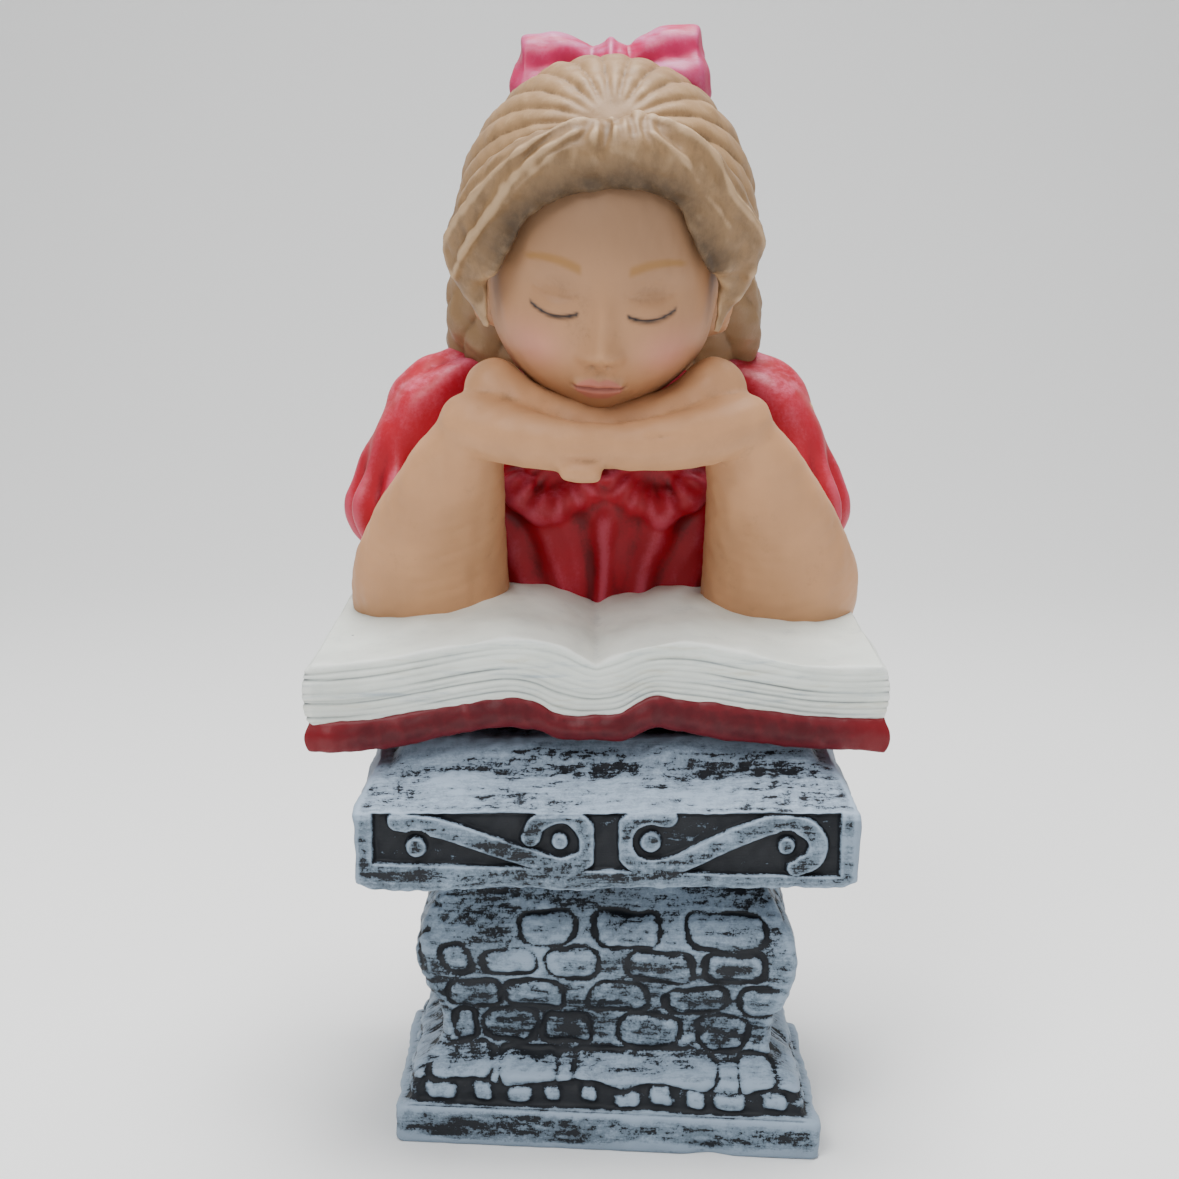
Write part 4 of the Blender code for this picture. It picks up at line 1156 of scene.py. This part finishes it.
def make_head():
    """Head with face and ears, as one skin over a sphere of directions crowded towards the face."""
    sizes = girl_sizes()
    rows, columns = 250, 380
    obj, row, column = ball("head", rows, columns)
    around = 2 * math.pi * column / columns
    around = around - 0.55 * np.sin(around) - math.pi / 2
    polar = math.pi * row / (rows + 1)
    polar = polar - 0.15 * np.sin(2 * polar)
    way = np.stack([np.sin(polar) * np.cos(around), np.sin(polar) * np.sin(around), np.cos(polar)], axis=1)
    spots = way * np.array(sizes.skull)
    # Full cheeks and jaw: wider towards the chin than an egg, and narrowing again just above it
    down = np.clip(-way[:, 2], 0, 1)
    full = (1 - down ** 3.1) ** 0.44 / np.sqrt(np.maximum(1 - down ** 2, 1e-6))
    spots[:, :2] *= np.minimum(full, 4.0)[:, None]
    spots[:, 0] *= 1 - 0.12 * blend(-spots[:, 2], 0.045, 0.088)
    x, z = spots[:, 0], spots[:, 2]
    spots[:, 1] -= face_relief(x, z) * blend(-way[:, 1], 0.15, 0.6)
    side = np.abs(x)
    ear_y, ear_z = spots[:, 1] - 0.008, z + 0.034
    reach = np.hypot(ear_y / 0.013, ear_z / 0.020)
    lobe = (1 - blend(reach, 0.75, 1.1)) * blend(side, 0.040, 0.052)
    hollow = np.exp(-((ear_y + 0.002) / 0.0055) ** 2 - ((ear_z - 0.001) / 0.0100) ** 2)
    spots[:, 0] += np.sign(x) * lobe * (0.0115 - 0.0080 * hollow)
    move_points(obj, out_of_head(spots))
    face_outwards(obj)
    x, y, z = spots.T
    side = np.abs(x)
    front = blend(-y, 0.030, 0.045)
    points = coordinates(obj)
    push = 0.0004 * unevenness(points, 0.030, 91) * (1 - front) + 0.00015 * unevenness(points, 0.010, 92)
    move_points(obj, points + push[:, None] * normals(obj))
    mark_relief(obj, 0.0050, 60)
    upper = curve(side, ((0.0, -0.0556), (0.004, -0.0540), (0.009, -0.0556), (0.0155, -0.0598)))
    lower = curve(side, ((0.0, -0.0680), (0.006, -0.0672), (0.011, -0.0640), (0.0155, -0.0602)))
    store(obj, "lips", front * blend(z, lower - 0.0008, lower + 0.0008)
          * (1 - blend(z, upper - 0.0008, upper + 0.0008))
          * (1 - blend(side, 0.0120, 0.0150)))
    lash = front * np.exp(-((z - lid_line(side)) / 0.0012) ** 2)
    lash = lash * (1 - blend(np.abs(side - EYE_AT), 0.0120, 0.0145))
    brow_width = 0.0029 - 0.0012 * np.clip((side - 0.020) / 0.025, 0, 1)
    brow = front * np.exp(-((z - brow_line(side)) / brow_width) ** 4)
    brow = brow * blend(side, 0.0115, 0.0145) * (1 - blend(side, 0.040, 0.046))
    store(obj, "lash", np.clip(1.4 * lash, 0, 1))
    store(obj, "brow", brow)
    store(obj, "mouth_line", front * np.exp(-((z - mouth_line(side)) / 0.0007) ** 2)
          * (1 - blend(side, 0.0130, 0.0160)))
    # Painted shadow of the fringe on the face: strongest at the hairline, a quarter as strong at the chin
    store(obj, "painted_fringe_shadow", 0.25 + 0.75 * blend(z, -0.035, 0.045))
    store(obj, "cheek", front * bump(side, z, (0.037, -0.038), (0.015, 0.013)))
    store(obj, "lid_shade", front * np.exp(-((z - lid_line(side) - 0.0115) / 0.0045) ** 2
                                           - ((side - EYE_AT) / 0.0130) ** 2))
    colours = paints()
    nodes, base, height = skin_paint("face_paint")
    # The painted shadow of the fringe darkens the face towards the hairline
    base = nodes.mix(nodes.times(nodes.mark("painted_fringe_shadow"), 0.85), base, (0.24, 0.140, 0.080))
    base = nodes.mix(nodes.times(nodes.mark("lid_shade"), 0.35), base, tuple(0.55 * c for c in colours.skin))
    base = nodes.mix(nodes.times(nodes.mark("cheek"), 0.45), base, colours.blush)
    base = nodes.mix(nodes.times(nodes.mark("lips"), 0.70), base, (0.46, 0.13, 0.11))
    base = nodes.mix(nodes.times(nodes.mark("mouth_line"), 0.7), base, (0.10, 0.025, 0.020))
    base = nodes.mix(nodes.times(nodes.mark("brow"), 0.95), base, colours.brow)
    base = nodes.mix(nodes.mark("lash"), base, (0.012, 0.012, 0.016))
    finish_piece(obj, nodes.finish(base, height, 0.25, 0.0005))


def hairline(x):
    """Height of the hair's lower edge over the forehead, in the head's own frame."""
    return 0.048 - 0.043 * (np.abs(x) / 0.060) ** 2.2


# The fringe's roll, from the left wing's tip over the peak to the right one's, in the head's frame
FRINGE_PATH = ((-0.0640, -0.0420, -0.0380), (-0.0735, -0.0370, -0.0040), (-0.0620, -0.0490, 0.0330),
               (-0.0370, -0.0600, 0.0565),
               (-0.0060, -0.0625, 0.0670), (0.0200, -0.0605, 0.0670), (0.0440, -0.0540, 0.0560),
               (0.0600, -0.0475, 0.0340),
               (0.0715, -0.0350, 0.0040), (0.0640, -0.0400, -0.0350))
FRINGE_THICK = 0.0165
FRINGE_TALL = 0.0190
CROWN_FLUTES = 27

# Light strands on the roll and the cleft in it, each a path in the head's frame, a width and a depth
FRINGE_STRANDS = (
    (((-0.007, -0.063, 0.090), (-0.028, -0.0655, 0.0805), (-0.054, -0.064, 0.057), (-0.076, -0.051, 0.025),
      (-0.086, -0.036, 0.000)),
     0.0022, -0.0030),
    (((-0.012, -0.068, 0.084), (-0.032, -0.072, 0.071), (-0.058, -0.068, 0.045), (-0.076, -0.056, 0.012),
      (-0.085, -0.040, -0.015)),
     0.0020, -0.0024),
    (((-0.018, -0.074, 0.076), (-0.040, -0.074, 0.060), (-0.063, -0.066, 0.033), (-0.080, -0.050, 0.000)),
     0.0018, -0.0016),
    (((0.006, -0.060, 0.092), (0.016, -0.059, 0.091), (0.034, -0.0605, 0.082), (0.050, -0.059, 0.069),
      (0.063, -0.0595, 0.048),
      (0.078, -0.046, 0.026), (0.086, -0.034, 0.002)), 0.0024, -0.0034),
    (((0.014, -0.068, 0.084), (0.034, -0.070, 0.070), (0.052, -0.066, 0.050), (0.068, -0.060, 0.028)), 0.0016,
     -0.0012),
    (((-0.001, -0.061, 0.086), (-0.003, -0.068, 0.078), (-0.006, -0.0755, 0.067)), 0.0026, 0.0022),
)


def path_point(path, along):
    """The places on a path at shares of its length in steps."""
    step = np.clip(along, 0, 1) * (len(path) - 1)
    k = np.minimum(step.astype(int), len(path) - 2)
    return path[k] + (step - k)[:, None] * (path[k + 1] - path[k])


def roll_up(spots):
    """Direction across the fringe's roll, from its lip up towards the crown."""
    out = spots / np.linalg.norm(spots, axis=1)[:, None]
    crown = np.array((0.0, 0.25, 1.0))
    up = crown - (out @ crown)[:, None] * out
    return up / np.maximum(np.linalg.norm(up, axis=1)[:, None], 1e-6)


def fringe_roll():
    """The roll of hair over the forehead: its lip stands out, its underside falls back to the hairline."""
    path = smooth_path(FRINGE_PATH, 10)
    around = 2 * math.pi * np.arange(48) / 48
    rings = []
    for k, centre in enumerate(path):
        ahead = path[min(k + 1, len(path) - 1)] - path[max(k - 1, 0)]
        ahead = ahead / np.linalg.norm(ahead)
        out = centre * (1.0, 1.35, 0.45)
        out = out - (out @ ahead) * ahead
        out /= np.linalg.norm(out)
        up = np.cross(out, ahead)
        end = min(k, len(path) - 1 - k) / (len(path) - 1)
        share = 0.14 + 0.86 * blend(end, 0.0, 0.16)
        under = np.minimum(np.sin(around), 0)
        reach = FRINGE_THICK * np.cos(around) * (1 + 0.6 * under)
        deep = 0.95 + 0.35 * blend(abs(centre[0]), 0.045, 0.070)
        tall = FRINGE_TALL * (np.sin(around) + (deep - 1) * under)
        rings.append(centre + share * (reach[:, None] * out + tall[:, None] * up))
    obj = skin_over("fringe_roll", rings)
    move_points(obj, out_of_head(coordinates(obj)))
    return obj


def hair_cap():
    sizes = girl_sizes()
    rows, columns = 220, 300
    obj, row, column = ball("hair_cap", rows, columns)
    around = 2 * math.pi * column / columns
    around = around - 0.3 * np.sin(around) - math.pi / 2
    polar = math.pi * row / (rows + 1)
    way = np.stack([np.sin(polar) * np.cos(around), np.sin(polar) * np.sin(around), np.cos(polar)], axis=1)
    spots = way * np.array(sizes.hair) + (0, 0.010, 0.008)
    low = blend(-way[:, 2], 0.2, 0.9)
    spots[:, 0] *= 1 - 0.25 * low
    brow = way * np.array(sizes.skull)
    spots *= 1.015
    line = np.maximum(hairline(brow[:, 0]), -0.020) + 0.004
    bare = blend(-way[:, 1], -0.10, 0.0) * (1 - blend(brow[:, 2], line - 0.002, line + 0.002))
    spots = spots + bare[:, None] * (brow * 0.86 - spots)
    move_points(obj, out_of_head(spots))
    face_outwards(obj)
    return obj


def hair_back():
    """Hair falling behind the neck onto the shoulders."""
    levels = ((0.372, 0.056, 0.016, 0.130), (0.392, 0.074, 0.030, 0.126), (0.420, 0.087, 0.040, 0.116),
              (0.450, 0.095, 0.048, 0.104),
              (0.480, 0.090, 0.052, 0.094), (0.520, 0.066, 0.044, 0.084))
    around = 2 * math.pi * np.arange(96) / 96
    rings = []
    for z in np.linspace(levels[0][0], levels[-1][0], 40):
        series = [[(level[0], level[k]) for level in levels] for k in (1, 2, 3)]
        half, depth, y = (curve(np.array([z]), places)[0] for places in series)
        rings.append(np.column_stack([half * np.cos(around), y + depth * np.sin(around), np.full(96, z)]))
    return skin_over("hair_back", rings)


def make_hair():
    obj = melt("hair", [hair_cap(), fringe_roll(), hair_back()], 0.0013, 6)
    points = coordinates(obj)
    spots = in_head(points)
    x, y, z = spots.T
    # Flutes of the crown run from the fringe's peak back over the head, like lines of longitude
    peak = np.array((0.004, -0.55, 0.83))
    peak /= np.linalg.norm(peak)
    back = np.cross(peak, (1.0, 0.0, 0.0))
    around = np.arctan2(x, spots @ back)
    far = np.linalg.norm(np.cross(spots, peak), axis=1)
    roll = smooth_path(FRINGE_PATH)
    distance, along = path_distance(spots, roll)
    on_roll = (1 - blend(distance, 0.016, 0.024)) * blend(-y, 0.004, 0.018)
    flute = np.abs(np.cos(around * CROWN_FLUTES / 2 + 0.25 * np.sin(3 * around)))
    crown = (1 - on_roll) * blend(far, 0.012, 0.034)
    push = crown * (0.0030 * np.sqrt(flute) - 0.0018)
    # Strands of the fringe fan out from its peak and run down its wings
    across = np.einsum("ij,ij->i", spots - path_point(roll, along), roll_up(spots))
    fan = np.arctan2(spots[:, 0] - 0.004, 0.112 - spots[:, 2])
    strand = np.sin(fan * 26 + 2 * unevenness(points, 0.03, 102)) * blend(across, -0.004, 0.004)
    push += on_roll * 0.0010 * strand + on_roll * 0.0007 * unevenness(points, 0.010, 103)
    hanging = blend(y, 0.0, 0.03) * (1 - blend(z, -0.030, 0.0))
    turn = np.arctan2(x, y)
    push += hanging * 0.0017 * np.cos(turn * 26 + 2.2 * np.sin(45 * z) + 1.2)
    fine = 0.0004 * np.sin(turn * 80 + 3 * np.sin(60 * z)) * hanging
    push += fine + 0.0006 * unevenness(points, 0.012, 101)
    points = points + push[:, None] * normals(obj)
    move_points(obj, relaxed(obj, points, 1))
    centre = np.array(girl_sizes().head_at)
    for strand_path, width, depth in FRINGE_STRANDS:
        carve(obj, out_of_head(smooth_path(strand_path)), width, depth, 0.12, centre)
    mark_relief(obj, 0.0026, 40)
    # Painted shadow under the fringe's roll, a band from its lip back to the hairline
    store(obj, "painted_roll_shadow", (1 - blend(across, -0.0165, -0.0065)) * (1 - blend(distance, 0.028, 0.034))
          * blend(-y, 0.0, 0.02))
    store(obj, "roll", on_roll)
    store(obj, "hanging", hanging)
    colours = paints()
    # Painted shade in the hair's hollows, and dry-brushing with painted highlight on its ridges
    nodes, base, height = soft_paint("hair_paint", colours.hair, colours.hair_shade, colours.hair_light, 0.5,
                                     90, 0.9, 0.6)
    brown = tuple(0.60 * c for c in colours.hair)
    base = nodes.mix(nodes.times(nodes.mark("roll"), 0.50), base, brown)
    base = nodes.mix(nodes.times(nodes.mark("hanging"), 0.55), base, brown)
    streaks = nodes.ramp(nodes.noise(70, 5, 0.75, (1.6, 1.0, 0.7)), 0.42, 0.66)
    base = nodes.mix(nodes.times(nodes.mark("roll"), nodes.times(streaks, 0.45)), base,
                     tuple(0.38 * c for c in colours.hair))
    # Dry-brushing and painted highlight on the ridges of the fringe's roll
    ridge = nodes.ramp(nodes.mark("relief"), 0.58, 0.80)
    base = nodes.mix(nodes.times(ridge, nodes.times(nodes.mark("roll"), 0.60)), base, colours.hair_light)
    flecks = nodes.ramp(nodes.noise(150, 5, 0.7, (1.0, 1.0, 0.6)), 0.75, 0.35)
    # under is the painted shadow under the roll, broken up by flecks, in a darker hair shade
    under = nodes.times(nodes.mark("painted_roll_shadow"), nodes.plus(nodes.times(flecks, 0.3), 0.68))
    base = nodes.mix(under, base, tuple(0.40 * c for c in colours.hair_shade))
    finish_piece(obj, nodes.finish(base, height, 0.45, 0.0007))


def bow_loop(side):
    sizes = girl_sizes()
    bow_at = np.array(sizes.bow_at)
    around = 2 * math.pi * np.arange(72) / 72
    rings = []
    for share in np.linspace(-0.08, 1.0, 44):
        open_by = 0.60 + 0.40 * blend(share, 0.0, 0.6)
        close = 1 - 0.55 * blend(share, 0.88, 1.0) ** 1.3
        rings.append(np.column_stack([np.full(72, sizes.bow_span * share * side),
                                      0.020 * close * open_by * np.cos(around),
                                      sizes.bow_height * close * open_by * np.sin(around)]) + bow_at)
    return skin_over("bow_loop", rings)


def make_bow():
    sizes = girl_sizes()
    bow_at = np.array(sizes.bow_at)
    knot = skin_over("knot", [np.column_stack([0.012 * math.sin(t) * np.cos(a),
                                               0.024 * math.sin(t) * np.sin(a),
                                               np.full(48, 0.023 * math.cos(t))]) + bow_at
                              for t in np.linspace(0.1, math.pi - 0.1,
                                                   24) for a in [2 * math.pi * np.arange(48) / 48]])
    obj = melt("bow", [bow_loop(-1), bow_loop(1), knot], 0.0011, 4)
    points = coordinates(obj)
    x, y, z = (points - bow_at).T
    turn = np.arctan2(z, np.abs(x) + 0.012)
    wander = unevenness(points, 0.05, 112)
    fold = np.cos(turn * 9 + 1.0 + 0.8 * wander) + 0.4 * np.cos(turn * 17 + 2 * wander)
    fold *= blend(np.abs(x), 0.006, 0.020) * (1 - 0.3 * blend(np.abs(x), 0.040, 0.055))
    knot_fold = np.cos(x * 2 * math.pi / 0.008) * (1 - blend(np.abs(x), 0.008, 0.014))
    push = 0.0024 * fold + 0.0008 * knot_fold + 0.0005 * unevenness(points, 0.012, 111)
    points = relaxed(obj, points + push[:, None] * normals(obj), 2)
    # The bow sits askew: its right loop stands higher
    points[:, 2] += 0.055 * (points[:, 0] - bow_at[0])
    move_points(obj, points)
    mark_relief(obj, 0.0022, 40)
    colours = paints()
    # Painted shade in the bow's hollows, and dry-brushing with painted highlight on its ridges
    nodes, base, height = soft_paint("bow_paint", colours.bow, tuple(0.3 * c for c in colours.bow),
                                     colours.bow_light, 0.40, 80,
                                     0.8, 0.35)
    # Dry-brushed pink with painted highlight on the bow's upward faces
    streaks = nodes.ramp(nodes.noise(50, 5, 0.7, (0.5, 1.0, 2.2)), 0.36, 0.66)
    lifted = nodes.times(nodes.ramp(nodes.mark("upward"), 0.20, 0.85), streaks)
    base = nodes.mix(nodes.times(lifted, 0.85), base, colours.bow_light)
    finish_piece(obj, nodes.finish(base, height, 0.4, 0.0006))


# Stage

def make_stage():
    bpy.ops.object.select_all(action="DESELECT")
    bpy.ops.mesh.primitive_grid_add(x_subdivisions=4, y_subdivisions=120, size=14, location=(0, 0, 0))
    floor = bpy.context.active_object
    floor.name = "floor"
    points = coordinates(floor)
    rise = np.clip(points[:, 1] - 1.5, 0, None)
    turn = np.minimum(rise / 1.5, math.pi / 2)
    points[:, 2] = 1.5 * (1 - np.cos(turn)) + np.maximum(rise - 0.75 * math.pi, 0)
    points[:, 1] = np.minimum(points[:, 1], 1.5) + 1.5 * np.sin(turn)
    move_points(floor, points)
    bpy.ops.object.shade_smooth()
    nodes = Nodes("pale_floor", 0.75)
    base = nodes.mix(nodes.noise(1.2, 3, 0.5), (0.93, 0.93, 0.92), (0.96, 0.96, 0.95))
    floor.data.materials.append(nodes.finish(base, nodes.noise(60, 3, 0.5), 0.05, 0.001))
    for name, spot, aim, power, size in (("key", (-0.8, -1.5, 2.2), (0, 0, 0.35), 42, 1.1),
                                         ("fill", (1.6, -1.4, 1.0), (0, 0, 0.3), 7, 1.6),
                                         ("top", (0.1, 0.2, 2.3), (0, 0, 0.3), 74, 1.3)):
        lamp = bpy.data.lights.new(name, "AREA")
        lamp.energy = power
        lamp.size = size
        light = bpy.data.objects.new(name, lamp)
        light.location = spot
        light.rotation_euler = (Vector(aim) - Vector(spot)).to_track_quat("-Z", "Y").to_euler()
        bpy.context.collection.objects.link(light)
    world = bpy.data.worlds.new("studio")
    world.use_nodes = True
    world.node_tree.nodes["Background"].inputs["Color"].default_value = (0.95, 0.97, 1.0, 1.0)
    world.node_tree.nodes["Background"].inputs["Strength"].default_value = 0.42
    bpy.context.scene.world = world
    lens = bpy.data.cameras.new("camera")
    lens.lens = 61.07
    lens.sensor_width = 36
    camera = bpy.data.objects.new("camera", lens)
    camera.location = (-0.009, -1.112, 0.533)
    camera.rotation_euler = (math.radians(78.6), 0, 0)
    bpy.context.collection.objects.link(camera)
    bpy.context.scene.camera = camera


class STATUE_OT_pedestal(bpy.types.Operator):
    """Make the cobbled column, the plinth and the slab"""
    bl_idname = "statue.pedestal"
    bl_label = "Pedestal"

    def execute(self, context):
        make_pedestal()
        make_slab()
        return {"FINISHED"}


class STATUE_OT_book(bpy.types.Operator):
    """Make the open book: its pages and its cover"""
    bl_idname = "statue.book"
    bl_label = "Book"

    def execute(self, context):
        make_pages()
        make_cover()
        return {"FINISHED"}


class STATUE_OT_girl(bpy.types.Operator):
    """Make the girl: dress, arms and hands, head, hair and bow"""
    bl_idname = "statue.girl"
    bl_label = "Girl"

    def execute(self, context):
        make_dress()
        make_arms()
        make_head()
        make_hair()
        make_bow()
        return {"FINISHED"}


class STATUE_OT_stage(bpy.types.Operator):
    """Make the floor, the lights and the camera"""
    bl_idname = "statue.stage"
    bl_label = "Stage"

    def execute(self, context):
        make_stage()
        return {"FINISHED"}


OPERATORS = (STATUE_OT_pedestal, STATUE_OT_book, STATUE_OT_girl, STATUE_OT_stage)
SETTINGS = (("statue_pedestal", PedestalSizes), ("statue_book", BookSizes), ("statue_girl", GirlSizes),
            ("statue_paints", Paints))


class STATUE_PT_panel(bpy.types.Panel):
    """Lists the statue's parts in the 3D view's sidebar"""
    bl_label = "Reading girl statue"
    bl_space_type = "VIEW_3D"
    bl_region_type = "UI"
    bl_category = "Statue"

    def draw(self, context):
        for operator in OPERATORS:
            self.layout.operator(operator.bl_idname)


def register():
    for name, settings in SETTINGS:
        bpy.utils.register_class(settings)
        setattr(bpy.types.Scene, name, bpy.props.PointerProperty(type=settings))
    for operator in OPERATORS:
        bpy.utils.register_class(operator)
    bpy.utils.register_class(STATUE_PT_panel)


def unregister():
    bpy.utils.unregister_class(STATUE_PT_panel)
    for operator in reversed(OPERATORS):
        bpy.utils.unregister_class(operator)
    for name, settings in reversed(SETTINGS):
        delattr(bpy.types.Scene, name)
        bpy.utils.unregister_class(settings)


def main():
    register()
    bpy.ops.statue.pedestal()
    bpy.ops.statue.book()
    bpy.ops.statue.girl()
    bpy.ops.statue.stage()
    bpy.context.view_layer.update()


if __name__ == "__main__":
    main()
